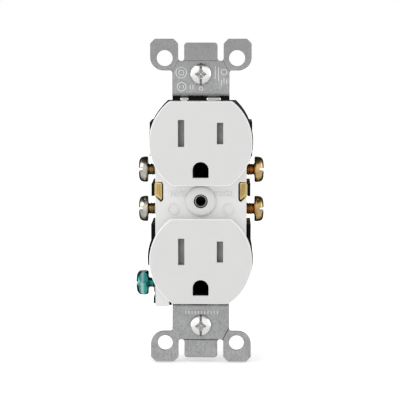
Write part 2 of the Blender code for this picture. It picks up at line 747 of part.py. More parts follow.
def make_ground_screw():
    """A screw with a slotted hexagonal head, chamfered at its crown and at its foot."""
    crown = [(0, GROUND_HEAD_RISE), (2.7, 3.6), (3.5, 3.25), (4.2, 2.5), (4.45, 1.7)]
    foot = [(4.4, 0.9), (3.9, 0.2), (3.6, 0)]
    screw = turned("ground_screw", crown + foot + shank(GROUND_LENGTH), GROUND_AXIS, GROUND_HEAD)
    head = Vector(GROUND_HEAD)
    for i in range(6):
        angle = math.radians(60 * i)
        out = GROUND_UP * math.cos(angle) + Vector((0, 1, 0)) * math.sin(angle)
        reach = (-THROUGH, GROUND_HEAD_RISE + THROUGH)
        flat = block("flat", (-4, 4), (ACROSS_FLATS / 2, ACROSS_FLATS), reach)
        frame = Matrix((out.cross(GROUND_AXIS), out, GROUND_AXIS)).transposed().to_4x4()
        flat.data.transform(Matrix.Translation(head * MM) @ frame)
        cut(screw, flat)
    width, depth = GROUND_SLOT
    reach = (GROUND_HEAD_RISE - depth, GROUND_HEAD_RISE + THROUGH)
    slot = block("slot", (-width / 2, width / 2), (-ACROSS_FLATS, ACROSS_FLATS), reach)
    frame = Matrix((GROUND_UP, Vector((0, 1, 0)), GROUND_AXIS)).transposed().to_4x4()
    slot.data.transform(Matrix.Translation(head * MM) @ frame)
    cut(screw, slot)
    return finish(screw, "green_steel")


def make_mounting_screw(name, z):
    """A screw with a domed head, a slot and a cross-shaped drive."""
    profile = domed_head(MOUNT_HEAD, MOUNT_RISE, 0.3) + shank(MOUNT_LENGTH)
    screw = turned(name, profile, Vector((0, -1, 0)), (0, MOUNT_SEAT, z))
    top = MOUNT_SEAT - MOUNT_RISE
    width, depth = MOUNT_SLOT
    reach = MOUNT_HEAD + THROUGH
    slot = block("slot", (-width / 2, width / 2), (top - THROUGH, top + depth), (z - reach, z + reach))
    cut(screw, slot)
    length, width, depth = DRIVE
    for turn in (45, -45):
        floor = (top - THROUGH, top + depth)
        wing = block("drive", (-length / 2, length / 2), floor, (-width / 2, width / 2))
        place = Matrix.Translation((0, 0, z * MM)) @ Matrix.Rotation(math.radians(turn), 4, "Y")
        wing.data.transform(place)
        cut(screw, wing)
    return finish(screw, "zinc_plated_steel")


def make_retainer(name, z):
    half, corner = RETAINER_HALF, RETAINER_CORNER
    outline = []
    for i, (x_sign, z_sign) in enumerate(((1, 1), (-1, 1), (-1, -1), (1, -1))):
        centre = (x_sign * (half - corner), z + z_sign * (half - corner))
        outline += arc(*centre, corner, 90 * i, 90 * i + 90, 3)
    retainer = prism(name, [outline, circle(0, z, SHANK + GAP)], RETAINER_Y)
    set_origin(retainer, (0, RETAINER_Y[0], z))
    return finish(retainer, "vulcanized_fibre")


# ---------------------------------------------------------------- shutters


def make_carrier(name, z):
    """The tray behind the face that guides the shutter and stops it."""
    half_x, half_z = CARRIER_HALF_X, CARRIER_HALF_Z
    front = SHUTTER_Y[0]
    rear = CARRIER_PLATE[0] + 0.5
    carrier = block(f"shutter_carrier_{name}", (-half_x, half_x), CARRIER_PLATE, (z - half_z, z + half_z))
    rail = SHUTTER_HALF + GAP
    for low, high in ((rail, half_z), (-half_z, -rail)):
        fuse(carrier, block("rail", (-half_x, half_x), (front, rear), (z + low, z + high)))
    fuse(carrier, block("rest_stop", (-half_x, -8.05), (front, rear), (z - half_z + 0.1, z + half_z - 0.1)))
    fuse(carrier, block("end_stop", (10.5, half_x), (front, rear), (z - half_z + 0.1, z + half_z - 0.1)))
    fuse(carrier, block("spring_post", (1.75, 2.35), (front + 0.2, rear), (z - 1.2, z + 1.2)))
    strap_front = INNER_PLANE - STRAP / 2
    fuse(carrier, block("foot", (-2.6, 2.6), (CARRIER_PLATE[1] - 0.5, strap_front - GAP), (z - 4, z + 4)))
    for x in (-BLADE_X, BLADE_X):
        cut(carrier, block("blade_way", (x - 1.3, x + 1.3), (front - THROUGH, 0), (z - 4.7, z + 4.7)))
    return finish(carrier, "grey_plastic")


def make_shutter(name, z):
    """A slide with a ramp under each blade slot, which both blades push towards +X."""
    front, rear = SHUTTER_Y
    shutter = block(f"shutter_{name}", (-7.75, 7.6), SHUTTER_Y, (z - SHUTTER_HALF, z + SHUTTER_HALF))
    opening = BLADE_X - SHUTTER_TRAVEL
    depth = (front - THROUGH, rear + THROUGH)
    cut(shutter, block("blade_opening", (opening - 1.15, opening + 1.15), depth, (z - 4.5, z + 4.5)))
    cut(shutter, block("spring_window", (-2.4, 2.6 - 0.1), depth, (z - 1.6, z + 1.6)))
    for left, right in ((-8.3, -5.0), (4.5, 7.4)):
        ramp = [(left, front - 0.1), (right, front - 0.1), (right, front), (left, front + 1.15)]
        cut(shutter, prism("ramp", [ramp], (z - 4.5, z + 4.5), plane="xy"))
    set_origin(shutter, (0, (front + rear) / 2, z))
    return finish(shutter, "grey_plastic")


def make_spring(name, z):
    size = (SPRING_RADIUS, SPRING_WIRE, SPRING_TURNS)
    spring = coil(f"shutter_spring_{name}", (SPRING_Y, z), SPRING_X, *size)
    return finish(spring, "spring_steel")


# ---------------------------------------------------------------- the whole outlet


make_cover()
make_body()
make_strap()
make_eyelet()
for name, side in SIDES.items():
    make_contact_strip(name, side)
    finish_name = "nickel_plated_steel" if name == "neutral" else "brass_plated_steel"
    for level, z in SCREW_Z.items():
        make_terminal_screw(f"{name}_screw_{level}", side, z, finish_name)
        make_wire_clip(f"wire_clip_{name}_{level}", side, z)
make_ground_screw()
for name, z in FACE_CENTRES.items():
    make_ground_contact(name, z)
    make_ground_rivet(name, z)
    make_carrier(name, z + SLOT_RISE)
    make_shutter(name, z + SLOT_RISE)
    make_spring(name, z + SLOT_RISE)
for name, end in (("top", 1), ("bottom", -1)):
    make_mounting_screw(f"mounting_screw_{name}", end * SCREW_PITCH / 2)
    make_retainer(f"screw_retainer_{name}", end * SCREW_PITCH / 2)
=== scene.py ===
import math

import bmesh
import bpy
from mathutils import Matrix, Vector


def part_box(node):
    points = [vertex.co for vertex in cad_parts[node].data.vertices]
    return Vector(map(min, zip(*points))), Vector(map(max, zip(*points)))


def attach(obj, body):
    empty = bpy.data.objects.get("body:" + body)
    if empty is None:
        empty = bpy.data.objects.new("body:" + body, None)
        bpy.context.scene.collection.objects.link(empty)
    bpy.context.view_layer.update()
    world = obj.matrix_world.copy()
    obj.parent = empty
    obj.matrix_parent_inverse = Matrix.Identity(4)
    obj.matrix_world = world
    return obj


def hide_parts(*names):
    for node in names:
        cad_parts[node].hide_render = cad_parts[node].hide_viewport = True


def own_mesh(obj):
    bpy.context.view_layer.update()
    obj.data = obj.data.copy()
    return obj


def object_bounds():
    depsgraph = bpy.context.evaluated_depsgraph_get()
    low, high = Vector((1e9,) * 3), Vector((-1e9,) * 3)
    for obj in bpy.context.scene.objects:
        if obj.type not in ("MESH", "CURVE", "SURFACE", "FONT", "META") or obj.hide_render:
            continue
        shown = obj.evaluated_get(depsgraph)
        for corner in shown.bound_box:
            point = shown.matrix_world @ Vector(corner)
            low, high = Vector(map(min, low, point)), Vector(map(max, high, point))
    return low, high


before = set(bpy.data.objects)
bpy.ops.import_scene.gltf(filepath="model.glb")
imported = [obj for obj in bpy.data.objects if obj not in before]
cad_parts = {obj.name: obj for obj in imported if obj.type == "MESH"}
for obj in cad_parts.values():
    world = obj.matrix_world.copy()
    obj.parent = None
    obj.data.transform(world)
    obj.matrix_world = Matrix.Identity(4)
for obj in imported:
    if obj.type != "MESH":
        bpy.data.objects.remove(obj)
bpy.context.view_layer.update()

# All lengths are millimetres, in the CAD model's frame, until a shape is made.
MM = 0.001
HOUSING = "housing"
SIDES = {"neutral": -1, "hot": 1}

# Cover: openings and flats measured from the centre of each face, and depths
SLOT_X, SLOT_RISE, GROUND_DROP = 6.35, 3.05, 8.9
CARRIERS = {name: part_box(f"shutter_carrier_{name}") for name in ("upper", "lower")}
FACES = {name: (low.z + high.z) / 2 / MM - SLOT_RISE for name, (low, high) in CARRIERS.items()}
TOPS = {"upper": 13.45, "lower": 13.8}
BOTTOMS = {"upper": 14.15, "lower": 14.2}
TOP_DROP = 0.7  # how much nearer the middle the housing's top end is than its bottom end
FACE_FRONT, COVER_REAR, WAIST_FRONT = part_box("face_cover")[0].y / MM, -0.5, -2.3
FACE_RADIUS, WAIST_HALF, BOSS_FRONT, BORE_RADIUS = 16.9, 15, -3.26, 2.3
LATCHES = ((-6.5, -4.5), (2.2, 6.2))

# Back body: front, back and floor of the tub, and its outer radius behind each face
BODY_FRONT, BODY_BACK, BODY_FLOOR = -0.2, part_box("back_body")[1].y / MM, 18.8
BULGE_RADIUS = 17.25
SHOULDER_RADIUS = BULGE_RADIUS + 0.4  # at the left of the lower face only

# Strap: metal thickness, front of its ends, and where it bends forward
STRAP, END_FRONT, STRAP_BORE = 1.2, -1.2, 2.4
BEND, INNER_Y, END_Y, INNER_END, OUTER_START = 0.9, 1.6, -0.6, 33.9, 35.7
QUARTER = BEND * math.pi / 2
RISE = INNER_Y - END_Y - 2 * BEND
GROWTH = 2 * QUARTER + RISE - (OUTER_START - INNER_END)  # flat length less height of each end's double bend
# Each end: outer and inner reach of its ears, height and radius of their holes, end of break slots, tab's tip
ENDS = {1: (53.15, 42.8, 46.85, 2.63, 45.9, 51.9), -1: (53.8, 43.6, 47.55, 2.5, 46.4, 52.5)}
EAR_HOLE_X = 11.85
RIVET_DROP = 4.25  # the ground rivets below each face's centre

# Screws: heights, depths and the 32 threads per inch that all of them share
MOUNT_Z, MOUNT_HEAD_Y = 41.67, -1.5
SCREW_Z = {"upper": 9.65, "lower": -3.55}
SCREW_HEAD_X, SCREW_DEPTH, SCREW_THREAD = 17.8, 8.0, 1.95
PITCH, FINE_THREAD = 0.794, 1.75
GROUND_HEAD = Vector((-17.6, 5.5, -28.2))
GROUND_AXIS = Vector((-1, 0, 0))
GROUND_UP = Vector((0, 0, 1))
BACKWARD = Vector((0, 1, 0))


# ---------------------------------------------------------------- outlines


def arc(x, z, radius, start, end, steps):
    """Points of an arc about (x, z) between two angles in degrees."""
    angles = [math.radians(start + (end - start) * i / steps) for i in range(steps + 1)]
    return [(x + radius * math.cos(a), z + radius * math.sin(a)) for a in angles]


def circle(x, z, radius, steps=64):
    return arc(x, z, radius, 0, 360, steps)[:-1]


def rect(x, z, corner=0.0, steps=5):
    """A rectangle between two limits each way, with round corners."""
    (x0, x1), (z0, z1) = sorted(x), sorted(z)
    if not corner:
        return [(x0, z0), (x1, z0), (x1, z1), (x0, z1)]
    centres = ((x1, z0, -90), (x1, z1, 0), (x0, z1, 90), (x0, z0, 180))
    points = []
    for cx, cz, turn in centres:
        inner_x = cx - corner if cx == x1 else cx + corner
        inner_z = cz - corner if cz == z1 else cz + corner
        points += arc(inner_x, inner_z, corner, turn, turn + 90, steps)
    return points


def obround(x, z, half, radius):
    """A slot along X with round ends, whose centres lie half its straight run from its middle."""
    return arc(x + half, z, radius, -90, 90, 20) + arc(x - half, z, radius, 90, 270, 20)


def face_outline(z, radius, top, bottom, corner=0.0):
    """A circle cut flat above and below its centre at z, with its four corners rounded."""
    points = []
    for side, sign in ((1, 1), (-1, 1), (-1, -1), (1, -1)):
        flat_z = top if sign > 0 else bottom
        height = flat_z - corner
        x = math.sqrt((radius - corner) ** 2 - height ** 2)
        reach = math.degrees(math.atan2(height, x))
        curve = arc(0, 0, radius, 0, reach, 14)[1:]
        if corner:
            curve += arc(x, height, corner, reach, 90, 8)[1:]
        if side * sign < 0:
            curve = curve[::-1]
        points += [(side * u, z + sign * v) for u, v in curve]
    return points


def ground_outline(z):
    """The ground hole: a half circle about z above a square foot."""
    half, corner = 2.63, 0.2
    side, foot = half - corner, z - half + corner
    left, right = arc(-side, foot, corner, 180, 270, 4), arc(side, foot, corner, 270, 360, 4)
    return arc(0, z, half, 0, 180, 32) + left + right


def inset(outline, distance):
    """The outline moved inwards by a distance, or outwards where it is negative."""
    count = len(outline)
    area = sum(outline[i - 1][0] * outline[i][1] - outline[i][0] * outline[i - 1][1] for i in range(count))
    turn = 1 if area > 0 else -1
    moved = []
    for i in range(count):
        before = Vector(outline[i]) - Vector(outline[i - 1])
        after = Vector(outline[(i + 1) % count]) - Vector(outline[i])
        first = Vector((-before.y, before.x)).normalized() * turn
        second = Vector((-after.y, after.x)).normalized() * turn
        middle = (first + second).normalized()
        moved.append(tuple(Vector(outline[i]) + middle * distance / max(0.3, middle.dot(first))))
    return moved


def strip_outline(path, thickness):
    """The closed outline of sheet metal whose middle follows a path."""
    sides = []
    for sign in (1, -1):
        side = []
        for i, point in enumerate(path):
            before = Vector(path[i]) - Vector(path[i - 1]) if i else None
            after = Vector(path[i + 1]) - Vector(path[i]) if i + 1 < len(path) else None
            normals = [Vector((-d.y, d.x)).normalized() for d in (before, after) if d is not None]
            middle = sum(normals, Vector((0, 0))).normalized()
            side.append(tuple(Vector(point) + middle * sign * thickness / 2 / middle.dot(normals[0])))
        sides.append(side)
    return sides[0] + sides[1][::-1]


# ---------------------------------------------------------------- solids


def mesh_object(name, bm):
    mesh = bpy.data.meshes.new(name)
    bm.to_mesh(mesh)
    bm.free()
    obj = bpy.data.objects.new(name, mesh)
    bpy.context.scene.collection.objects.link(obj)
    return obj


def evaluated_mesh(obj):
    bpy.context.view_layer.update()
    graph = bpy.context.evaluated_depsgraph_get()
    return bpy.data.meshes.new_from_object(obj.evaluated_get(graph))


# What turns an outline's own plane into each plane of the model
PLANES = {
    "xz": Matrix(((1, 0, 0, 0), (0, 0, -1, 0), (0, 1, 0, 0), (0, 0, 0, 1))),
    "yz": Matrix(((0, 0, 1, 0), (1, 0, 0, 0), (0, 1, 0, 0), (0, 0, 0, 1))),
    "xy": Matrix.Identity(4),
}


def plate(name, outlines, span, edge=0.0, plane="xz", rings=3):
    """Flat outlines, the inner ones holes, made solid over a span across their plane, with round edges."""
    curve = bpy.data.curves.new(name, "CURVE")
    curve.dimensions = "2D"
    curve.fill_mode = "BOTH"
    curve.extrude = (abs(span[1] - span[0]) / 2 - edge) * MM
    curve.bevel_depth = edge * MM
    curve.bevel_resolution = rings
    curve.offset = -edge * MM
    for outline in outlines:
        spline = curve.splines.new("POLY")
        spline.points.add(len(outline) - 1)
        spline.use_cyclic_u = True
        for point, (u, v) in zip(spline.points, outline):
            point.co = (u * MM, v * MM, 0, 1)
    shape = bpy.data.objects.new(name, curve)
    bpy.context.scene.collection.objects.link(shape)
    turn = PLANES[plane] if isinstance(plane, str) else plane
    middle = (span[0] + span[1]) / 2 * MM
    across = -middle if plane == "xz" else middle
    mesh = evaluated_mesh(shape)
    bpy.data.objects.remove(shape, do_unlink=True)
    bm = bmesh.new()
    bm.from_mesh(mesh)
    bpy.data.meshes.remove(mesh)
    bmesh.ops.remove_doubles(bm, verts=bm.verts, dist=0.0005 * MM)
    bm.transform(turn @ Matrix.Translation((0, 0, across)))
    bmesh.ops.recalc_face_normals(bm, faces=bm.faces)
    return mesh_object(name, bm)


def box(name, x, y, z, edge=0.0):
    return plate(name, [rect(x, z)], sorted(y), edge)


def loft(name, levels):
    """A closed solid through outlines of equal length, each at its own depth y."""
    bm = bmesh.new()
    loops = [[bm.verts.new((x * MM, y * MM, z * MM)) for x, z in outline] for outline, y in levels]
    count = len(loops[0])
    for low, high in zip(loops, loops[1:]):
        for i in range(count):
            bm.faces.new((low[i], low[(i + 1) % count], high[(i + 1) % count], high[i]))
    bm.faces.new(loops[0])
    bm.faces.new(loops[-1])
    bmesh.ops.recalc_face_normals(bm, faces=bm.faces)
    return mesh_object(name, bm)


def hole(name, outline, mouth, end, lip):
    """A cutter that leaves a round lip at its mouth and runs on to its end."""
    way = 1 if end > mouth else -1
    levels = [(inset(outline, -lip * 1.02), mouth - way * 1.0)]
    for i in range(6):
        angle = math.radians(90 * i / 5)
        depth = mouth + way * lip * (1 - math.cos(angle))
        levels.append((inset(outline, -lip * (1 - math.sin(angle))), depth))
    levels.append((outline, end))
    return loft(name, levels)


def stand(bm, axis, origin):
    """Turns a mesh made along +Z about the world's origin to stand along an axis from another origin."""
    turn = Vector((0, 0, 1)).rotation_difference(Vector(axis)).to_matrix().to_4x4()
    bm.transform(Matrix.Translation(Vector(origin) * MM) @ turn)
    bmesh.ops.recalc_face_normals(bm, faces=bm.faces)


def turned(name, profile, axis, origin, steps=64, ring=False):
    """A profile of (radius, height) points turned about an axis through the origin."""
    bm = bmesh.new()
    loops = []
    for radius, height in profile:
        count = 1 if radius < 1e-6 else steps
        angles = [2 * math.pi * i / steps for i in range(count)]
        points = [(radius * math.cos(a) * MM, radius * math.sin(a) * MM, height * MM) for a in angles]
        loops.append([bm.verts.new(p) for p in points])
    pairs = list(zip(loops, loops[1:])) + ([(loops[-1], loops[0])] if ring else [])
    for low, high in pairs:
        for i in range(steps):
            j = (i + 1) % steps
            corners = [low[i % len(low)], low[j % len(low)], high[j % len(high)], high[i % len(high)]]
            bm.faces.new(list(dict.fromkeys(corners)))
    stand(bm, axis, origin)
    return mesh_object(name, bm)


def rod(name, radius, start, end, steps=48):
    start, end = Vector(start), Vector(end)
    length = (end - start).length
    return turned(name, [(0, length), (radius, length), (radius, 0), (0, 0)], end - start, start, steps)


def thread(radius, low, high, axis, origin):
    """The helical thread of a screw between two heights, fading out at both ends."""
    depth, steps, rows = 0.28, 40, 9
    root, flank = 0.12, 0.62  # widths of the root and of the two flanks as parts of the pitch
    bm = bmesh.new()
    count = int((high - low) / PITCH * rows)
    loops = []
    for row in range(count + 1):
        height = low + (high - low) * row / count
        fade = max(0.0, min(1.0, (height - low) / PITCH, (high - height) / PITCH))
        loop = []
        for i in range(steps):
            turn = (height / PITCH - i / steps) % 1.0
            crest = max(0.0, min(1.0, (1 - abs(2 * turn - 1) - root) / flank))
            r = radius - depth * (1 - crest * fade)
            angle = 2 * math.pi * i / steps
            loop.append(bm.verts.new((r * math.cos(angle) * MM, r * math.sin(angle) * MM, height * MM)))
        loops.append(loop)
    for first, second in zip(loops, loops[1:]):
        for i in range(steps):
            bm.faces.new((first[i], first[(i + 1) % steps], second[(i + 1) % steps], second[i]))
    bm.faces.new(loops[0])
    bm.faces.new(loops[-1])
    stand(bm, axis, origin)
    return mesh_object("thread", bm)


def boolean(target, tools, operation):
    for tool in tools:
        modifier = target.modifiers.new(tool.name, "BOOLEAN")
        modifier.operation = operation
        modifier.object = tool
        modifier.solver = "EXACT"
    mesh = evaluated_mesh(target)
    target.modifiers.clear()
    target.data = mesh
    for tool in tools:
        bpy.data.objects.remove(tool, do_unlink=True)
    return target


def cut(target, *tools):
    return boolean(target, tools, "DIFFERENCE")


def fuse(target, *tools):
    return boolean(target, tools, "UNION")


def join(target, *others):
    """Puts the others' faces into the target's mesh."""
    bm = bmesh.new()
    bm.from_mesh(target.data)
    for other in others:
        bm.from_mesh(other.data)
        bpy.data.objects.remove(other, do_unlink=True)
    bm.to_mesh(target.data)
    bm.free()
    return target


def soften(obj, width, segments=2, angle=35):
    """Rounds the edges that are sharper than an angle in degrees."""
    modifier = obj.modifiers.new("Edge", "BEVEL")
    modifier.width = width * MM
    modifier.segments = segments
    modifier.limit_method = "ANGLE"
    modifier.angle_limit = math.radians(angle)


def dress(obj, slot):
    """Evens a piece's shading and gives it the material of its slot."""
    normals = obj.modifiers.new("Normals", "WEIGHTED_NORMAL")
    normals.keep_sharp = True
    obj.data.materials.clear()
    obj.data.materials.append(MATERIALS[slot])


def finish(obj, body, slot, cad_node, sharp=32):
    """Shades a piece, gives it its material, and lets it stand for its CAD node on that node's body."""
    obj.data.shade_smooth()
    obj.data.set_sharp_from_angle(angle=math.radians(sharp))
    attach(obj, body)
    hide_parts(cad_node)
    dress(obj, slot)


# ---------------------------------------------------------------- materials


def node(tree, kind, inputs=None, **properties):
    """A shader node, with each input linked to a socket or set to a constant."""
    made = tree.nodes.new("ShaderNode" + kind)
    for key, value in properties.items():
        setattr(made, key, value)
    for key, value in (inputs or {}).items():
        if isinstance(value, bpy.types.NodeSocket):
            tree.links.new(value, made.inputs[key])
        else:
            made.inputs[key].default_value = value
    return made


def mix(tree, factor, first, second):
    """The first colour where the factor is 0 and the second where it is 1."""
    made = tree.nodes.new("ShaderNodeMix")
    made.data_type = "RGBA"
    for index, value in ((0, factor), (6, first), (7, second)):
        if isinstance(value, bpy.types.NodeSocket):
            tree.links.new(value, made.inputs[index])
        else:
            made.inputs[index].default_value = value
    return made.outputs[2]


def ramp(tree, value, low, high, bottom=0.0, top=1.0):
    """A straight run from bottom to top as the value goes from low to high."""
    limits = {"From Min": low, "From Max": high, "To Min": bottom, "To Max": top}
    return node(tree, "MapRange", {"Value": value, **limits}).outputs["Result"]


def maths(tree, operation, first, second=0.0):
    return node(tree, "Math", {0: first, 1: second}, operation=operation).outputs[0]


def shade(color, factor=1):
    return (*[min(1.0, c * factor) for c in color], 1.0)


class Surface:
    """A Principled material with colour mottling, uneven roughness and fine relief."""

    def __init__(self, name, color, roughness, metallic=0.0, *, mottle, grain, spread=0.06,
                 stretch=(1, 1, 1)):
        """The mottle is (scale, strength) and the grain is (scale, height in millimetres)."""
        self.material = bpy.data.materials.new(name)
        self.material.use_nodes = True
        self.tree = tree = self.material.node_tree
        self.shader = tree.nodes["Principled BSDF"]
        self.place = node(tree, "TexCoord").outputs["Object"]
        spot = node(tree, "Mapping", {"Vector": self.place, "Scale": stretch}).outputs["Vector"]
        scale, strength = mottle
        cloud = node(tree, "TexNoise", {"Vector": spot, "Scale": scale, "Detail": 5.0}).outputs["Fac"]
        self.cloud = ramp(tree, cloud, 0.3, 0.7)
        self.color = mix(tree, self.cloud, shade(color, 1 - strength), shade(color, 1 + strength))
        scale, self.relief = grain
        self.fine = node(tree, "TexNoise", {"Vector": spot, "Scale": scale, "Detail": 3.0}).outputs["Fac"]
        self.rough = ramp(tree, self.fine, 0.3, 0.7, roughness - spread, roughness + spread)
        self.shader.inputs["Metallic"].default_value = metallic

    def along(self, axis):
        """The position along an axis of the object, in metres."""
        return node(self.tree, "SeparateXYZ", {"Vector": self.place}).outputs[axis]

    def reach(self):
        """The distance from the object's Y axis, in metres."""
        flat_place = node(self.tree, "Mapping", {"Vector": self.place, "Scale": (1, 0, 1)}).outputs["Vector"]
        return node(self.tree, "VectorMath", {0: flat_place}, operation="LENGTH").outputs["Value"]

    def band(self, value, low, high, bottom=0.0, top=1.0):
        """A ramp over a range in millimetres."""
        return ramp(self.tree, value, low * MM, high * MM, bottom, top)

    def paint(self, mask, color):
        """Lays a plain colour over the surface as far as the mask goes."""
        self.color = mix(self.tree, mask, self.color, shade(color))

    def paint_crevice_shade(self, color, distance, low=0.35, high=0.8):
        """Painted shade and dirt in slots, corners and threads, darkest where ambient occlusion finds them
        closed in.
        """
        tree = self.tree
        open_sky = node(tree, "AmbientOcclusion", {"Distance": distance * MM}, samples=6).outputs["AO"]
        self.color = mix(tree, ramp(tree, open_sky, low, high), shade(color), self.color)

    def finish(self):
        tree = self.tree
        tree.links.new(self.color, self.shader.inputs["Base Color"])
        tree.links.new(self.rough, self.shader.inputs["Roughness"])
        bump = node(tree, "Bump", {"Height": self.fine, "Strength": 1.0, "Distance": self.relief * MM})
        tree.links.new(bump.outputs["Normal"], self.shader.inputs["Normal"])
        return self.material


def white_plastic():
    pattern = {"mottle": (120, 0.012), "grain": (2600, 0.0035), "spread": 0.05}
    s = Surface("White_Plastic", (0.69, 0.69, 0.685), 0.36, **pattern)
    # Painted light: the fronts of the two faces and the boss are painted a little darker than the waist, as
    # painted shade, and the round rims are painted brighter, as painted highlight.
    shaded_front_tone, rim_highlight_tone = (0.615, 0.615, 0.61), (0.86, 0.86, 0.855)
    tree = s.tree
    depth = s.along("Y")
    beyond_boss = s.band(s.reach(), 5.2, 5.5)
    s.color = mix(tree, beyond_boss, shade(shaded_front_tone), s.color)
    # Painted highlight on the round rims.
    rim = s.band(depth, FACE_FRONT + 1.2, FACE_FRONT + 1.6, 1.0, 0.0)
    s.paint(maths(tree, "MULTIPLY", rim, beyond_boss), rim_highlight_tone)
    # Painted shade on the flat fronts.
    front = s.band(depth, FACE_FRONT + 0.05, FACE_FRONT + 0.2, 1.0, 0.0)
    s.color = mix(tree, front, s.color, mix(tree, s.cloud, shade(shaded_front_tone, 0.99), shade(shaded_front_tone, 1.01)))
    s.shader.inputs["IOR"].default_value = 1.48
    return s.finish()


def black_plastic():
    pattern = {"mottle": (300, 0.2), "grain": (3800, 0.012), "spread": 0.08}
    s = Surface("Black_Plastic", (0.003, 0.003, 0.0032), 0.5, **pattern)
    s.shader.inputs["Specular IOR Level"].default_value = 0.08
    return s.finish()


def grey_plastic():
    return Surface("Grey_Plastic", (0.27, 0.262, 0.25), 0.5, mottle=(400, 0.08), grain=(3000, 0.006)).finish()


def fibre():
    pattern = {"mottle": (900, 0.22), "grain": (2600, 0.02), "stretch": (1, 3, 0.4)}
    return Surface("Vulcanized_Fibre", (0.22, 0.08, 0.05), 0.75, **pattern).finish()


def galvanized():
    pattern = {"mottle": (260, 0.12), "grain": (3200, 0.01), "spread": 0.12}
    s = Surface("Galvanized_Steel", (0.455, 0.457, 0.46), 0.42, 1.0, **pattern)
    tree = s.tree
    cells = node(tree, "TexVoronoi", {"Vector": s.place, "Scale": 900.0, "Randomness": 1.0})
    tone = node(tree, "SeparateColor", {"Color": cells.outputs["Color"]}).outputs["Red"]
    s.paint(ramp(tree, tone, 0, 1, 0, 0.5), (0.5, 0.505, 0.51))
    specks = node(tree, "TexNoise", {"Vector": s.place, "Scale": 1900.0, "Detail": 2.0}).outputs["Fac"]
    s.paint(ramp(tree, specks, 0.5, 0.68, 0, 0.6), (0.24, 0.24, 0.245))
    streaks = node(tree, "Mapping", {"Vector": s.place, "Scale": (2600, 2600, 260)}).outputs["Vector"]
    drawn = node(tree, "TexNoise", {"Vector": streaks, "Scale": 1.0, "Detail": 2.0}).outputs["Fac"]
    s.paint(ramp(tree, drawn, 0.35, 0.7, 0, 0.35), (0.27, 0.275, 0.28))
    # The tops of the coined marks are painted brighter, and the top ears are darker than the rest.
    s.paint(s.band(s.along("Y"), END_FRONT - 0.1, END_FRONT - 0.03, 0.85, 0.0), (0.8, 0.8, 0.8))
    s.paint(s.band(s.along("Z"), 42, 46, 0.0, 0.5), (0.28, 0.28, 0.285))
    # Painted shade in the strap's crevices.
    s.paint_crevice_shade((0.07, 0.07, 0.07), 0.5)
    # Painted shade: the run between the ends, which lies behind the cover, is painted near black as the
    # shadow in the gap there.
    behind = s.band(s.along("Y"), 0.3, 0.9)
    inner = s.band(maths(tree, "ABSOLUTE", s.along("X")), 9.8, 10.2, 1.0, 0.0)
    s.paint(maths(tree, "MULTIPLY", behind, inner), (0.016, 0.015, 0.015))
    return s.finish()


def plated(name, color, roughness, shank_tone, mottle, crevice_shade_limits=(0.45, 0.92), shaded_openings=False):
    """Plated steel, which may have browner shanks on the terminal screws, or painted shade in its openings.
    """
    s = Surface(name, color, roughness, 1.0, mottle=mottle, grain=(2200, 0.003), spread=0.05)
    if shank_tone:
        # The shanks of the terminal screws are painted a browner tone.
        across = maths(s.tree, "ABSOLUTE", s.along("X"))
        s.paint(s.band(across, BROWN_SHANK_X, BROWN_SHANK_X + 0.25, 1.0, 0.0), shank_tone)
    # Painted shade in the eyelet's bore and the mounting screws' slots.
    if shaded_openings:
        paint_opening_shade(s)
    # Painted shade in the crevices.
    s.paint_crevice_shade(shade(color, 0.1)[:3], 1.0, *crevice_shade_limits)
    return s.finish()


def paint_opening_shade(s):
    """Paints dark shade into the bore of the eyelet and the straight slots of the two mounting screws."""
    tree = s.tree
    reach = s.reach()
    s.paint(s.band(reach, 1.72, 1.85, 0.96, 0.0), (0.02, 0.02, 0.02))
    slot = s.band(maths(tree, "ABSOLUTE", s.along("X")), 0.3, 0.42, 0.85, 0.0)
    from_screw = maths(tree, "SUBTRACT", maths(tree, "ABSOLUTE", s.along("Z")), MOUNT_Z * MM)
    outside_recess = s.band(maths(tree, "ABSOLUTE", from_screw), 1.3, 1.9)
    at_ends = s.band(reach, 30, 31)
    s.paint(maths(tree, "MULTIPLY", maths(tree, "MULTIPLY", slot, outside_recess), at_ends), (0.1, 0.1, 0.1))


def brass():
    pattern = {"mottle": (520, 0.2), "grain": (1600, 0.008), "stretch": (1, 1, 0.2)}
    s = Surface("Brass", (0.80, 0.59, 0.25), 0.3, 1.0, **pattern)
    # Painted shade in the crevices.
    s.paint_crevice_shade((0.05, 0.03, 0.01), 0.7)
    return s.finish()


def green_steel():
    s = Surface("Green_Plated_Steel", (0.03, 0.37, 0.335), 0.13, 1.0, mottle=(700, 0.2), grain=(2400, 0.003))
    # A pale band is painted round the corners between the dome and the six sides, as a painted highlight.
    x, base = s.along("X"), GROUND_HEAD.x
    highlight_rise = s.band(x, base - 2.75, base - 2.2, 0.0, 0.5)
    highlight_fall = s.band(x, base - 1.75, base - 1.2, 1.0, 0.0)
    s.paint(maths(s.tree, "MULTIPLY", highlight_rise, highlight_fall), (0.75, 1.0, 0.97))
    # Painted shade in the crevices.
    s.paint_crevice_shade((0.0, 0.03, 0.03), 0.6)
    s.shader.inputs["Coat Weight"].default_value = 0.35
    s.shader.inputs["Coat Roughness"].default_value = 0.12
    return s.finish()


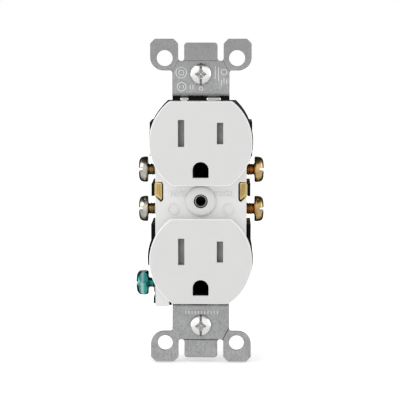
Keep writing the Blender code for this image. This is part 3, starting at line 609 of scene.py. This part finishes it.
BROWN_SHANK_X = SCREW_HEAD_X - 0.45  # the terminal screws' shanks are browner inside this distance from x = 0
BLOTCHY, EVEN = (430, 0.3), (500, 0.06)
ZINC = (0.93, 0.93, 0.91)
NICKEL, BROWN_NICKEL = (0.56, 0.53, 0.465), (0.42, 0.32, 0.2)
BRASS_PLATE, BROWN_PLATE = (0.62, 0.43, 0.19), (0.5, 0.21, 0.055)
MATERIALS = {
    "white_plastic": white_plastic(),
    "black_plastic": black_plastic(),
    "grey_plastic": grey_plastic(),
    "galvanized_steel": galvanized(),
    "zinc_plated_steel": plated("Zinc_Plated_Steel", ZINC, 0.2, None, EVEN, (0.38, 0.9), shaded_openings=True),
    "nickel_plated_steel": plated("Nickel_Plated_Steel", NICKEL, 0.17, BROWN_NICKEL, BLOTCHY),
    "brass": brass(),
    "brass_plated_steel": plated("Brass_Plated_Steel", BRASS_PLATE, 0.17, BROWN_PLATE, BLOTCHY),
    "green_steel": green_steel(),
    "spring_steel": plated("Spring_Steel", (0.52, 0.52, 0.52), 0.28, None, EVEN),
    "vulcanized_fibre": fibre(),
}


# ---------------------------------------------------------------- cover


def notch_outline(side):
    """The notch in one side of the waist that a break-off tab shows through."""
    points = [(16.5, 2.9), (15.0, 1.35), (13.25, -0.35), (12.75, -0.2)]
    points += [(12.35, 0.5), (12.35, 5.6), (12.8, 6.3), (16.5, 6.3)]
    return [(side * x, z) for x, z in points]


def ring_mark(x, z, radius, width, span, edge, steps=64):
    outlines = [circle(x, z, radius, steps), circle(x, z, radius - width, steps)]
    return plate("mark", outlines, span, edge, rings=1)


def bar_mark(x, low, high, span, edge, corner=0.0):
    return plate("mark", [rect((x - 0.2, x + 0.2), (low, high), corner, 2)], span, edge, rings=1)


def marks_on_cover():
    """Plain raised rings and bars, which carry no lettering."""
    span, edge = (WAIST_FRONT - 0.3, WAIST_FRONT + 0.2), 0.08
    big, small = [(x, -2.7, 1.85) for x in (-9.15, 9.15)], [(x, 2.35, 0.95) for x in (-8.2, 6.6, 8.9)]
    marks = [ring_mark(x, z, radius, 0.36, span, edge) for x, z, radius in big + small]
    return marks + [bar_mark(x, 1.4, 3.3, span, edge) for x in (-9.9, -6.4, -5.5, 4.9, 10.5)]


def ends(end, *heights):
    """Heights at the top (1) or the bottom (-1) of the housing."""
    return tuple(end * z - (TOP_DROP if end > 0 else 0) for z in heights)


def build_cover():
    """One moulding: two faces, the waist with its boss, the corner by the ground screw, and four latches."""
    wall, slot_half, opening = 1.6, 1.04, FACE_FRONT + 3
    depth = (WAIST_FRONT, COVER_REAR)
    cover = plate("Face_Cover", [rect((-WAIST_HALF, WAIST_HALF), FACES.values())], depth, 0.25)
    parts = []
    for level, z in FACES.items():
        outline = face_outline(z, FACE_RADIUS, TOPS[level], BOTTOMS[level], 1.8)
        parts.append(plate("face", [outline], (FACE_FRONT, COVER_REAR), 0.55, rings=4))
    boss = [(2.1, -2.3), (2.1, 0.1), (2.25, 0.2), (2.9, 0.24), (3.6, 0.22), (4.25, 0.14)]
    boss += [(4.6, 0.0), (4.82, -0.35), (5.1, -1.0), (5.1, -2.3)]
    parts.append(turned("boss", [(r, h - BOSS_FRONT) for r, h in boss], -BACKWARD, (0, 0, 0), ring=True))
    parts.append(plate("corner", [rect((-WAIST_HALF, -10.5), (-35.2, -24), 0.7)], depth, 0.25))
    for end in (-1, 1):
        for x in LATCHES:
            parts.append(box("arm", x, (-1.6, 5.4), ends(end, 33.3, 34.15), 0.12))
            parts.append(box("root", x, (-1.6, COVER_REAR - 0.1), ends(end, 32.3, 34.1), 0.1))
            parts.append(box("hook", x, (4.2, 5.4), ends(end, 32.2, 33.7), 0.12))
    fuse(cover, *parts)
    tools = []
    for level, z in FACES.items():
        cavity = face_outline(z, FACE_RADIUS - wall, TOPS[level] - wall, BOTTOMS[level] - wall)
        tools.append(plate("cavity", [cavity], (FACE_FRONT + wall, COVER_REAR + 1)))
        middle = z + SLOT_RISE
        for x, height in ((-SLOT_X, 8.8), (SLOT_X, 7.0)):
            slot = rect((x - slot_half, x + slot_half), (middle - height / 2, middle + height / 2), 0.12, 3)
            tools.append(hole("slot", slot, FACE_FRONT, opening, 0.24))
        tools.append(hole("ground", ground_outline(z - GROUND_DROP), FACE_FRONT, opening, 0.3))
    tools.append(rod("bore", BORE_RADIUS, (0, 1, 0), (0, -4.5, 0), 64))
    for side in SIDES.values():
        tools.append(plate("notch", [notch_outline(side)], (WAIST_FRONT - 1, COVER_REAR + 1)))
    cut(cover, *tools)
    join(cover, *marks_on_cover())
    finish(cover, HOUSING, "white_plastic", "face_cover", sharp=30)


# ---------------------------------------------------------------- back body


def build_body():
    """The tub: round ends, barriers between the terminals, windows for the contacts, and rear openings."""
    depth = (BODY_FRONT, BODY_BACK)
    body = plate("Back_Body", [rect((-14.9, 14.9), (FACES["lower"] + 2, FACES["upper"] - 2))], depth, 0.45)
    parts = []
    for level, z in FACES.items():
        outline = face_outline(z, BULGE_RADIUS, TOPS[level] - 0.6, BOTTOMS[level] - 0.6)
        parts.append(plate("bulge", [outline], depth, 0.45, rings=4))
    lower = FACES["lower"]
    shoulder = arc(0, lower, SHOULDER_RADIUS, 162, 187.5, 12) + arc(0, lower, 16.2, 187.5, 162, 12)
    parts.append(plate("shoulder", [shoulder], (BODY_FRONT + 0.3, 8.0), 0.1))
    lip, back = BODY_FRONT + 0.1, BODY_BACK - 1.1
    for side in SIDES.values():
        for x, low, high in ((16.9, 14.6, 25.8), (16.35, 1.4, 5.5), (16.5, -13.5, -8.0)):
            parts.append(box("barrier", (side * 13, side * x), (lip, back), (low, high), 0.22))
    parts.append(box("ground_corner", (-15.7, -9.8), (lip, 14.0), (-34.5, -30.5), 0.22))
    # A small black block stands in for the dark shadowed gap below the lower face's left corner: a painted
    # shadow made solid.
    parts.append(box("foot", (-10.5, -9.75), (lip, 6), (-35.1, -33), 0.15))
    fuse(body, *parts)

    tools, before, wall = [], BODY_FRONT - 1, 2.25
    for level, z in FACES.items():
        hollow = face_outline(z, 15.55, TOPS[level] - wall, BOTTOMS[level] - wall)
        tools.append(plate("hollow", [hollow], (before, BODY_FLOOR)))
    waist = (FACES["lower"] + 5, FACES["upper"] - 5)
    tools.append(box("waist_hollow", (-12.9, 12.9), (before, BODY_FLOOR), waist))
    for side in SIDES.values():
        tools.append(box("window", (side * 12.5, side * 15.4), (before, 13.5), (-15.8, 21.9)))
        for z in SCREW_Z.values():
            start, end = (side * 15.15, SCREW_DEPTH, z), (side * 18.3, SCREW_DEPTH, z)
            tools.append(rod("head_room", 4.65, start, end, 64))
            wire = hole("wire_hole", circle(side * 11.4, z, 1.15, 40), BODY_BACK, BODY_FLOOR - 1, 0.45)
            release = rect((side * 9 - 0.5, side * 9 + 0.5), (z - 1.5, z + 1.5), 0.15, 3)
            tools += [wire, hole("release", release, BODY_BACK, BODY_FLOOR - 1, 0.15)]
    cut(body, *tools)

    post = rod("post", 4.2, (0, BODY_FLOOR + 0.5, 0), (0, 2.5, 0), 64)
    fuse(body, post)
    way = (before, 2.5)
    tools = [rod("post_bore", 2.4, (0, BODY_BACK + 1, 0), (0, 0, 0), 64)]
    tools.append(hole("seat", circle(0, 0, 4.0), BODY_BACK, BODY_BACK - 1.2, 0.2))
    tools.append(box("tab_pocket", (-18.5, -13.6), (before, 11.0), (-32.6, -23.6)))
    tools.append(rod("shank_way", 2.15, GROUND_HEAD - GROUND_AXIS, GROUND_HEAD - GROUND_AXIS * 12))
    tools.append(box("tab_way", (-18.5, -10.0), way, (-31.3, -24.5)))
    for end in (-1, 1):
        tools.append(box("strap_way", (-9.7, 9.7), way, (end * 30, end * 36)))
        for x in LATCHES:
            window = (x[0] - 0.3, x[1] + 0.3)
            tools.append(box("hook_window", window, (3.9, 5.7), ends(end, 31, 34)))
    for x, z in ((-9, 24), (9, 24), (-9, -24), (9, -24)):
        tools.append(hole("pin_mark", circle(x, z, 1.9, 40), BODY_BACK, BODY_BACK - 0.12, 0.05))
    gauge = rect((-4.6, 4.6), (9.5, 12.0), 0.6)
    tools.append(hole("gauge", gauge, BODY_BACK, BODY_BACK - 0.45, 0.12))
    tools.append(hole("panel", rect((-7.5, 7.5), (-27, -12), 0.8), BODY_BACK, BODY_BACK - 0.25, 0.1))
    cut(body, *tools)
    finish(body, HOUSING, "black_plastic", "back_body", sharp=30)


# ---------------------------------------------------------------- strap


def flat(points):
    """Moves the points of the strap's ends to where they lie before the strap is bent."""
    return [(x, z + math.copysign(GROWTH, z)) if abs(z) > 35 else (x, z) for x, z in points]


def quarter(points, x_sign, z_sign):
    """A quarter outline mirrored to another quarter, still running the same way round."""
    mirrored = [(x * x_sign, z * z_sign) for x, z in points]
    return mirrored if x_sign * z_sign > 0 else mirrored[::-1]


def end_outline(end):
    """The strap's end from its neck out round the ear to the middle tab, for +X and +Z."""
    top, bottom, _, _, slot_end, tab = ENDS[end]
    return (
        [(9.4, INNER_END)]
        + arc(10.2, bottom - 0.8, 0.8, 180, 90, 8)
        + arc(12.2, bottom + 4.4, 4.4, -90, 0, 22)
        + arc(15.9, top - 1.8, 0.7, 0, 45, 4) + arc(14.8, top - 0.7, 0.7, 45, 90, 4)
        + arc(9.25, top - 0.7, 0.7, 90, 135, 4) + arc(8.15, top - 1.8, 0.7, 135, 180, 4)
        + arc(6.45, slot_end + 1, 1.0, 0, -180, 18)
        + arc(4.45, tab - 1, 1.0, 0, 90, 8)
    )


def strap_outline():
    steps = ((30.6, 9.4), (28.2, 3.3), (17.0, 3.3), (16.4, 5.6), (-9.6, 5.6), (-10.4, 3.3), (-22.0, 3.3),
             (-22.6, 5.6), (-30.0, 5.6), (-30.6, 9.4))
    right = [(half, z) for z, half in steps]
    left = [(-half, z) for z, half in steps]
    top = quarter(end_outline(1), 1, 1) + quarter(end_outline(1), -1, 1)
    bottom = quarter(end_outline(-1), -1, -1) + quarter(end_outline(-1), 1, -1)
    return flat(top) + left + flat(bottom) + right[::-1]


def groove(start, end, depth):
    """A cutter for a score line in the front of the strap's ends."""
    (x0, z0), (x1, z1) = flat([start, end])
    length = math.hypot(x1 - x0, z1 - z0)
    bm = bmesh.new()
    bmesh.ops.create_cube(bm, size=1.0)
    side = depth * math.sqrt(2) * MM
    bmesh.ops.scale(bm, vec=(length * MM, side, side), verts=bm.verts)
    turn = Matrix.Rotation(-math.atan2(z1 - z0, x1 - x0), 4, "Y") @ Matrix.Rotation(math.radians(45), 4, "X")
    bm.transform(Matrix.Translation(((x0 + x1) / 2 * MM, -STRAP / 2 * MM, (z0 + z1) / 2 * MM)) @ turn)
    return mesh_object("score", bm)


def bent(point):
    """Where a point of the flat strap goes when its ends are bent forward."""
    x, offset, z = point.x / MM, point.y / MM, point.z / MM
    way, along = math.copysign(1, z), abs(z)
    if along <= INNER_END:
        y, height, tangent = INNER_Y, along, (0, 1)
    elif along <= INNER_END + QUARTER:
        turn = (along - INNER_END) / BEND
        y, height = INNER_Y - BEND + BEND * math.cos(turn), INNER_END + BEND * math.sin(turn)
        tangent = (-math.sin(turn), math.cos(turn))
    elif along <= INNER_END + QUARTER + RISE:
        y, height, tangent = INNER_Y - BEND - (along - INNER_END - QUARTER), INNER_END + BEND, (-1, 0)
    elif along <= INNER_END + 2 * QUARTER + RISE:
        turn = (along - INNER_END - QUARTER - RISE) / BEND
        y, height = END_Y + BEND - BEND * math.sin(turn), OUTER_START - BEND * math.cos(turn)
        tangent = (-math.cos(turn), math.sin(turn))
    else:
        y, height, tangent = END_Y, along - GROWTH, (0, 1)
    return Vector((x, y + offset * tangent[1], way * (height - offset * tangent[0]))) * MM


def marks_on_strap():
    """Plain coined rings and bars on the front of the ends, which carry no lettering."""
    span, edge = (-STRAP / 2 - 0.14, -STRAP / 2 + 0.1), 0.09
    rings = ((-6.4, 42.1, 1.95), (-6.4, 42.1, 1.05), (-6.3, 37.5, 1.6), (0.1, 36.9, 0.75), (7.6, 42.3, 1.1))
    bars = [(4.7, 40.0, 44.4), (5.8, 39.2, 44.0), (7.6, 38.6, 40.4), (-3.4, 36.6, 38.2), (-2.6, 36.6, 38.2)]
    bars += [(-6.9, 36.9, 38.1), (-5.7, 36.9, 38.1), (6.7, 37.8, 39.8), (8.5, 38.2, 40.0)]
    bars += [(-5.0 + 1.05 * i, -37.9, -36.7) for i in range(11)]
    marks = []
    for x, z, radius in rings:
        (x, z), = flat([(x, z)])
        marks.append(ring_mark(x, z, radius, 0.4, span, edge, 48))
    for x, low, high in bars:
        (x, low), (x, high) = flat([(x, low), (x, high)])
        marks.append(bar_mark(x, low, high, span, edge, 0.1))
    return marks


def ground_bracket():
    """The arm and the tab that the ground screw threads into, bent from the strap's metal."""
    under_head, reach, radius, half, tip = 1.9, 9.0, 1.0, 2.85, 9.8
    path = [(reach, INNER_Y)] + arc(radius, INNER_Y + radius, radius, 270, 180, 8) + [(0, tip)]
    turn = Matrix((-GROUND_AXIS, BACKWARD, GROUND_UP)).transposed().to_4x4()
    middle = GROUND_HEAD - GROUND_AXIS * (under_head + STRAP / 2)
    place = Matrix.Translation(Vector((middle.x, 0, middle.z)) * MM)
    bracket = plate("bracket", [strip_outline(path, STRAP)], (-half, half), 0.14, place @ turn)
    return cut(bracket, rod("thread", SCREW_THREAD + 0.1, GROUND_HEAD, GROUND_HEAD - GROUND_AXIS * 5))


def build_strap():
    """Cut flat with its holes, score lines and marks, then bent forward at both ends."""
    holes = [circle(0, 0, STRAP_BORE)]
    for end in (-1, 1):
        holes.append(flat(obround(0, end * MOUNT_Z, 1.0, 2.2)))
        height, radius = ENDS[end][2:4]
        holes += [flat(circle(side * EAR_HOLE_X, end * height, radius)) for side in (-1, 1)]
        for x in LATCHES:
            holes.append(rect((x[0] - 0.3, x[1] + 0.3), ends(end, 32.9, 34.45), 0.2, 3))
    for z in FACES.values():
        holes.append(circle(0, z - GROUND_DROP - 0.45, 3.1))
        holes.append(circle(0, z - RIVET_DROP, 1.5, 40))
    strap = plate("Mounting_Strap", [strap_outline()] + holes, (-STRAP / 2, STRAP / 2), 0.16)
    scores = []
    for end, depth in ((-1, 0.2), (1, 0.06)):
        slot_end = ENDS[end][4] + 0.1
        scores.append(groove((-5.6, end * slot_end), (5.6, end * slot_end), depth))
        for side in (-1, 1):
            scores.append(groove((side * 9.5, end * 42.2), (side * 7.2, end * (slot_end + 0.2)), depth))
    cut(strap, *scores)
    join(strap, *marks_on_strap())
    bm = bmesh.new()
    bm.from_mesh(strap.data)
    steps = [INNER_END + (2 * QUARTER + RISE) * i / 18 for i in range(19)]
    for height in steps + [-s for s in steps]:
        whole = bm.verts[:] + bm.edges[:] + bm.faces[:]
        bmesh.ops.bisect_plane(bm, geom=whole, plane_co=(0, 0, height * MM), plane_no=(0, 0, 1), dist=1e-7)
    for vert in bm.verts:
        vert.co = bent(vert.co)
    bm.to_mesh(strap.data)
    bm.free()
    join(strap, ground_bracket())
    finish(strap, HOUSING, "galvanized_steel", "mounting_strap", sharp=35)


# ---------------------------------------------------------------- screws and small metal


def build_terminal_screw(name, side, z, slot, body):
    """A slotted round head."""
    axis = Vector((side, 0, 0))
    origin = (side * SCREW_HEAD_X, SCREW_DEPTH, z)
    crown = [(0, 3.1), (1.6, 3.08), (2.6, 3.0), (3.2, 2.86), (3.65, 2.62), (3.95, 2.3)]
    foot = [(4.13, 1.9), (4.22, 1.5), (4.28, 1.1), (4.3, 0.4), (4.22, 0.15), (4.05, 0)]
    shank = [(2.4, 0), (2.0, -0.12), (1.7, -0.4), (1.65, -5.1), (0, -5.1)]
    screw = turned(f"{name}_head", crown + foot + shank, axis, origin)
    slot_depth, slot_height = (SCREW_DEPTH - 6, SCREW_DEPTH + 6), (z - 0.65, z + 0.65)
    cut(screw, box("slot", (side * 19.5, side * 22), slot_depth, slot_height))
    soften(screw, 0.09, 3, 40)
    join(screw, thread(SCREW_THREAD, -5.25, -0.3, axis, origin))
    finish(screw, body, slot, name)


def build_ground_screw():
    """A slotted hexagonal head with a domed front."""
    crown = [(0, 4.05), (1.4, 4.0386), (2.5, 3.936), (3.1, 3.7308), (3.6, 3.366), (4.0, 2.91)]
    foot = [(4.3, 2.34), (4.45, 1.77), (4.45, 1.2), (4.3, 0.75), (4.05, 0.4), (3.8, 0.15), (3.6, 0)]
    shank = [(2.2, 0), (1.85, -0.15), (1.5, -0.5), (1.45, -6.8), (0, -6.8)]
    screw = turned("Ground_Screw", crown + foot + shank, GROUND_AXIS, GROUND_HEAD)

    def ground_tool(name, outline, span, first, second):
        turn = Matrix((first, second, GROUND_AXIS)).transposed().to_4x4()
        return plate(name, [outline], span, 0.0, Matrix.Translation(GROUND_HEAD * MM) @ turn)

    tools = []
    for i in range(6):
        angle = math.radians(60 * i)
        out = GROUND_UP * math.cos(angle) + BACKWARD * math.sin(angle)
        tools.append(ground_tool("flat", rect((-4, 4), (3.9, 8)), (-1, 6), out.cross(GROUND_AXIS), out))
    tools.append(ground_tool("slot", rect((-0.55, 0.55), (-6, 6)), (2.6, 6), GROUND_UP, BACKWARD))
    cut(screw, *tools)
    soften(screw, 0.16, 3, 22)
    join(screw, thread(FINE_THREAD, -6.95, -0.3, GROUND_AXIS, GROUND_HEAD))
    finish(screw, "green_screw", "green_steel", "ground_screw", sharp=28)


def build_mounting_screw(name, z, body):
    """An oval head with a straight slot across a four-pointed recess."""
    axis, origin, length = -BACKWARD, (0, MOUNT_HEAD_Y, z), 19.0
    radius, height, rim, steps = 3.52, 1.9, 0.3, 14
    angles = [math.radians(90 * i / steps) for i in range(steps + 1)]
    crown = [(radius * math.sin(a) ** 0.95, rim + (height - rim) * math.cos(a)) for a in angles]
    foot = [(radius, 0.2), (radius - 0.0525, 0.0525), (radius - 0.15, 0)]
    shank = [(2.2, 0), (1.85, -0.15), (1.5, -0.5), (1.45, -length + 0.6), (1.0, -length), (0, -length)]
    screw = turned(f"{name}_head", crown + foot + shank, axis, origin)
    top = MOUNT_HEAD_Y - height
    slot = box("slot", (-0.4, 0.4), (top - 1, top + 0.8), (z - 4, z + 4))
    star = []
    for i in range(8):
        angle, reach = math.radians(45 * i), 1.3 if i % 2 else 2.05
        star.append((reach * math.cos(angle), z + reach * math.sin(angle)))
    star = inset(inset(star, 0.15), -0.15)
    levels = ((1.12, -0.8), (1.0, 0.2), (0.62, 1.1), (0.2, 1.65))
    drive = loft("drive", [([(x * k, z + (v - z) * k) for x, v in star], top + depth) for k, depth in levels])
    cut(screw, slot, drive)
    soften(screw, 0.05)
    join(screw, thread(FINE_THREAD, -length + 0.3, -0.4, axis, origin))
    finish(screw, body, "zinc_plated_steel", name)


def build_contact_strip(name, side):
    """The side plate with its break-off tab, and a blade grip behind each face on an arm from the plate."""
    outline = [(0.6, -12.7), (12.8, -12.7), (13.2, -12.3), (13.2, 0.6), (2.2, 0.6), (2.2, 5.5), (13.2, 5.5),
               (13.2, 18.4), (12.8, 18.8), (0.6, 18.8)]
    threads = [circle(SCREW_DEPTH, z, SCREW_THREAD + 0.1, 40) for z in SCREW_Z.values()]
    strip = plate(f"{name}_Contact_Strip", [outline] + threads, (side * 14.3, side * 15.1), 0.12, "yz")
    tab = [(15.65, 2.2), (15.65, 4.9), (14.95, 5.9), (13.15, 5.9), (12.8, 5.5), (12.8, 0.55), (13.15, -0.05)]
    parts = [plate("tab", [[(side * x, z) for x, z in tab]], (0.2, 1.0), 0.12)]
    for step in (0, 0.6, 1.2):
        x = (side * (step + 13.17), side * (step + 13.43))
        parts.append(box("ridge", x, (-0.05, 0.4), (step + 0.9, 5.3), 0.08))
    mouth = [(1.75, 0.6), (1.3, 1.3), (0.85, 3.0), (1.3, 6.0), (1.3, 12.4)]
    path = [(side * SLOT_X - x, y) for x, y in mouth] + [(side * SLOT_X + x, y) for x, y in mouth[::-1]]
    half = 4.3
    for z, arm in zip(FACES.values(), ((15.5, 21.5), (-15.4, -9.4))):
        span = (z + SLOT_RISE - half, z + SLOT_RISE + half)
        parts.append(plate("grip", [strip_outline(path, 0.6)], span, 0.12, "xy"))
        parts.append(box("arm", (side * 7.4, side * 14.9), (12.1, 12.7), arm, 0.12))
    fuse(strip, *parts)
    finish(strip, HOUSING, "brass", f"{name}_contact_strip")


def build_eyelet():
    """The tubular rivet, ridged inside like a thread, rolled over at the front and closed at the rear."""
    bore = [(0, -15.0), (1.5, -15.0)] + [(1.72 if i % 2 else 1.5, -14.8 + i * 0.18) for i in range(98)]
    tube = [(1.6, 2.95), (1.7, 3.05), (1.9, 3.05), (2.0, 2.95), (2.0, 0.12), (2.2, 0.0)]
    head = tube + [(2.8, 0.0), (3.1, -0.12), (3.2, -0.35), (3.15, -0.55), (2.9, -0.6)]
    shank = [(2.15, -0.6), (2.1, -0.8), (2.1, -19.3), (3.1, -19.4), (3.3, -19.55), (3.3, -19.75)]
    rear = [(3.0, -19.9), (1.2, -19.9), (0.9, -19.8), (0, -19.75)]
    eyelet = turned("Center_Eyelet", bore + head + shank + rear, -BACKWARD, (0, 0.1, 0))
    finish(eyelet, HOUSING, "zinc_plated_steel", "center_eyelet", sharp=60)


def build_rivet(name, z):
    """The rivet that holds a ground contact to the strap, behind the face whose centre is at z."""
    front = [(0, -0.15), (0.8, -0.18), (1.4, -0.3), (1.85, -0.55), (2.0, -0.7), (1.9, -0.75), (1.2, -0.75)]
    rear = [(1.2, -3.4), (1.8, -3.4), (1.9, -3.55), (1.5, -3.85), (0.7, -3.98), (0, -4.0)]
    rivet = turned(f"Ground_Rivet_{name}", front + rear, -BACKWARD, (0, -0.05, z - RIVET_DROP), 40)
    finish(rivet, HOUSING, "zinc_plated_steel", f"ground_rivet_{name}")


def build_spring(name, z):
    """A close-wound coil along X, made at one fixed length."""
    low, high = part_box(f"shutter_spring_{name}")
    start, end = low.x / MM + 0.13, high.x / MM - 0.13
    turns, steps, radius, depth = 6, 24, 0.6, -3.8
    curve = bpy.data.curves.new("spring", "CURVE")
    curve.dimensions = "3D"
    curve.bevel_depth = 0.12 * MM
    curve.bevel_resolution = 3
    curve.use_fill_caps = True
    spline = curve.splines.new("POLY")
    spline.points.add(turns * steps)
    for i, point in enumerate(spline.points):
        angle = 2 * math.pi * i / steps
        x = start + (end - start) * i / (turns * steps)
        point.co = (x * MM, (depth + radius * math.cos(angle)) * MM, (z + radius * math.sin(angle)) * MM, 1)
    shape = bpy.data.objects.new("spring", curve)
    bpy.context.scene.collection.objects.link(shape)
    spring = bpy.data.objects.new(f"Shutter_Spring_{name}", evaluated_mesh(shape))
    bpy.context.scene.collection.objects.link(spring)
    bpy.data.objects.remove(shape, do_unlink=True)
    finish(spring, HOUSING, "spring_steel", f"shutter_spring_{name}")
    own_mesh(spring)


def refine(name, slot, width=0.12):
    """Keeps a CAD node's own shape, with softened edges and its detailed material."""
    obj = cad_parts[name]
    weld = obj.modifiers.new("Weld", "WELD")
    weld.merge_threshold = 0.002 * MM
    soften(obj, width)
    dress(obj, slot)


# ---------------------------------------------------------------- the object

build_cover()
build_body()
build_strap()
build_eyelet()
for level, z in SCREW_Z.items():
    build_terminal_screw(f"neutral_screw_{level}", -1, z, "nickel_plated_steel", f"{level}_neutral_screw")
    build_terminal_screw(f"hot_screw_{level}", 1, z, "brass_plated_steel", f"{level}_hot_screw")
build_ground_screw()
build_mounting_screw("mounting_screw_top", MOUNT_Z, "top_mounting_screw")
build_mounting_screw("mounting_screw_bottom", -MOUNT_Z, "bottom_mounting_screw")
for name, z in FACES.items():
    build_rivet(name, z)
    build_spring(name, z + SLOT_RISE)
    refine(f"ground_contact_{name}", "brass")
    refine(f"shutter_carrier_{name}", "grey_plastic")
    refine(f"shutter_{name}", "grey_plastic")
for side, sign in SIDES.items():
    build_contact_strip(side, sign)
    for level in SCREW_Z:
        refine(f"wire_clip_{side}_{level}", "spring_steel", 0.06)
for end in ("top", "bottom"):
    refine(f"screw_retainer_{end}", "vulcanized_fibre")


# ---------------------------------------------------------------- stage, light and camera

FLOOR_SIZE, FLOOR_GAP, FLOOR_COLOR, FLOOR_GLOW = 8, 0.0004, (0.93, 0.93, 0.93, 1), 0.22
FRONT_LIGHT, SIDE_LIGHT = 0.78, 1.0
DISTANCE, SENSOR, VIEW_WIDTH = 0.55, 36.0, 0.1322
AZIMUTH, ELEVATION = math.radians(1), math.radians(6)
TARGET = Vector((-0.0003, 0, 0.0001))


def build_floor():
    """A plain pale floor just under the part, unseen in reflections."""
    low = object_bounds()[0]
    bm = bmesh.new()
    bmesh.ops.create_grid(bm, x_segments=1, y_segments=1, size=FLOOR_SIZE / 2)
    floor = mesh_object("Floor", bm)
    floor.location = (0, 0, low.z - FLOOR_GAP)
    material = bpy.data.materials.new("Floor")
    material.use_nodes = True
    shader = material.node_tree.nodes["Principled BSDF"]
    shader.inputs["Base Color"].default_value = FLOOR_COLOR
    shader.inputs["Roughness"].default_value = 0.9
    shader.inputs["Specular IOR Level"].default_value = 0.0
    shader.inputs["Emission Color"].default_value = (1, 1, 1, 1)
    shader.inputs["Emission Strength"].default_value = FLOOR_GLOW
    floor.data.materials.append(material)
    floor.visible_glossy = False


def area_light(name, place, size, energy):
    """A rectangular light that faces the middle of the part."""
    data = bpy.data.lights.new(name, "AREA")
    data.shape = "RECTANGLE"
    data.size, data.size_y = size
    data.energy = energy
    light = bpy.data.objects.new(name, data)
    bpy.context.scene.collection.objects.link(light)
    light.location = place
    light.rotation_euler = (-Vector(place)).to_track_quat("-Z", "Y").to_euler()


def studio_world():
    """White all round, a little dimmer in front; reflections also see a dark ring behind and dark above."""
    world = bpy.data.worlds.new("Studio")
    bpy.context.scene.world = world
    world.use_nodes = True
    tree = world.node_tree
    way = node(tree, "SeparateXYZ", {"Vector": node(tree, "TexCoord").outputs["Generated"]})
    lit = ramp(tree, way.outputs["Y"], -0.95, -0.2, FRONT_LIGHT, SIDE_LIGHT)
    front = ramp(tree, way.outputs["Y"], -0.25, 0.45, 1.0, 0.02)
    low = ramp(tree, way.outputs["Z"], -0.45, 0.0, 0.78, 1.0)
    rear = ramp(tree, way.outputs["Y"], 0.8, 0.97, 0.0, 0.45)
    high = ramp(tree, way.outputs["Z"], 0.66, 0.9, 1.0, 0.08)
    seen = maths(tree, "MULTIPLY", maths(tree, "MAXIMUM", front, rear), maths(tree, "MULTIPLY", low, high))
    rays = node(tree, "LightPath")
    light = mix(tree, rays.outputs["Is Glossy Ray"], lit, seen)
    light = mix(tree, rays.outputs["Is Camera Ray"], light, (1.0, 1.0, 1.0, 1.0))
    tree.links.new(light, tree.nodes["Background"].inputs["Color"])


def aim_camera():
    """The view straight at the faces from slightly above and slightly to the right."""
    data = bpy.data.cameras.new("Camera")
    camera = bpy.data.objects.new("Camera", data)
    bpy.context.scene.collection.objects.link(camera)
    level = Vector((math.sin(AZIMUTH), -math.cos(AZIMUTH), 0))
    back = level * math.cos(ELEVATION) + Vector((0, 0, math.sin(ELEVATION)))
    camera.location = TARGET + back * DISTANCE
    camera.rotation_euler = (-back).to_track_quat("-Z", "Y").to_euler()
    data.sensor_width, data.lens = SENSOR, SENSOR * DISTANCE / VIEW_WIDTH
    data.clip_start, data.clip_end = 0.01, 20.0
    bpy.context.scene.camera = camera


build_floor()
studio_world()
area_light("Key", (-0.6, -0.5, 0.6), (0.5, 0.5), 1.7)
area_light("Side_Right", (0.7, 0.0, 0.15), (0.4, 0.6), 1.0)
area_light("Side_Left", (-0.7, 0.0, 0.15), (0.4, 0.6), 1.0)

bpy.context.scene.view_settings.view_transform = "Standard"
bpy.context.scene.view_settings.look = "None"
aim_camera()
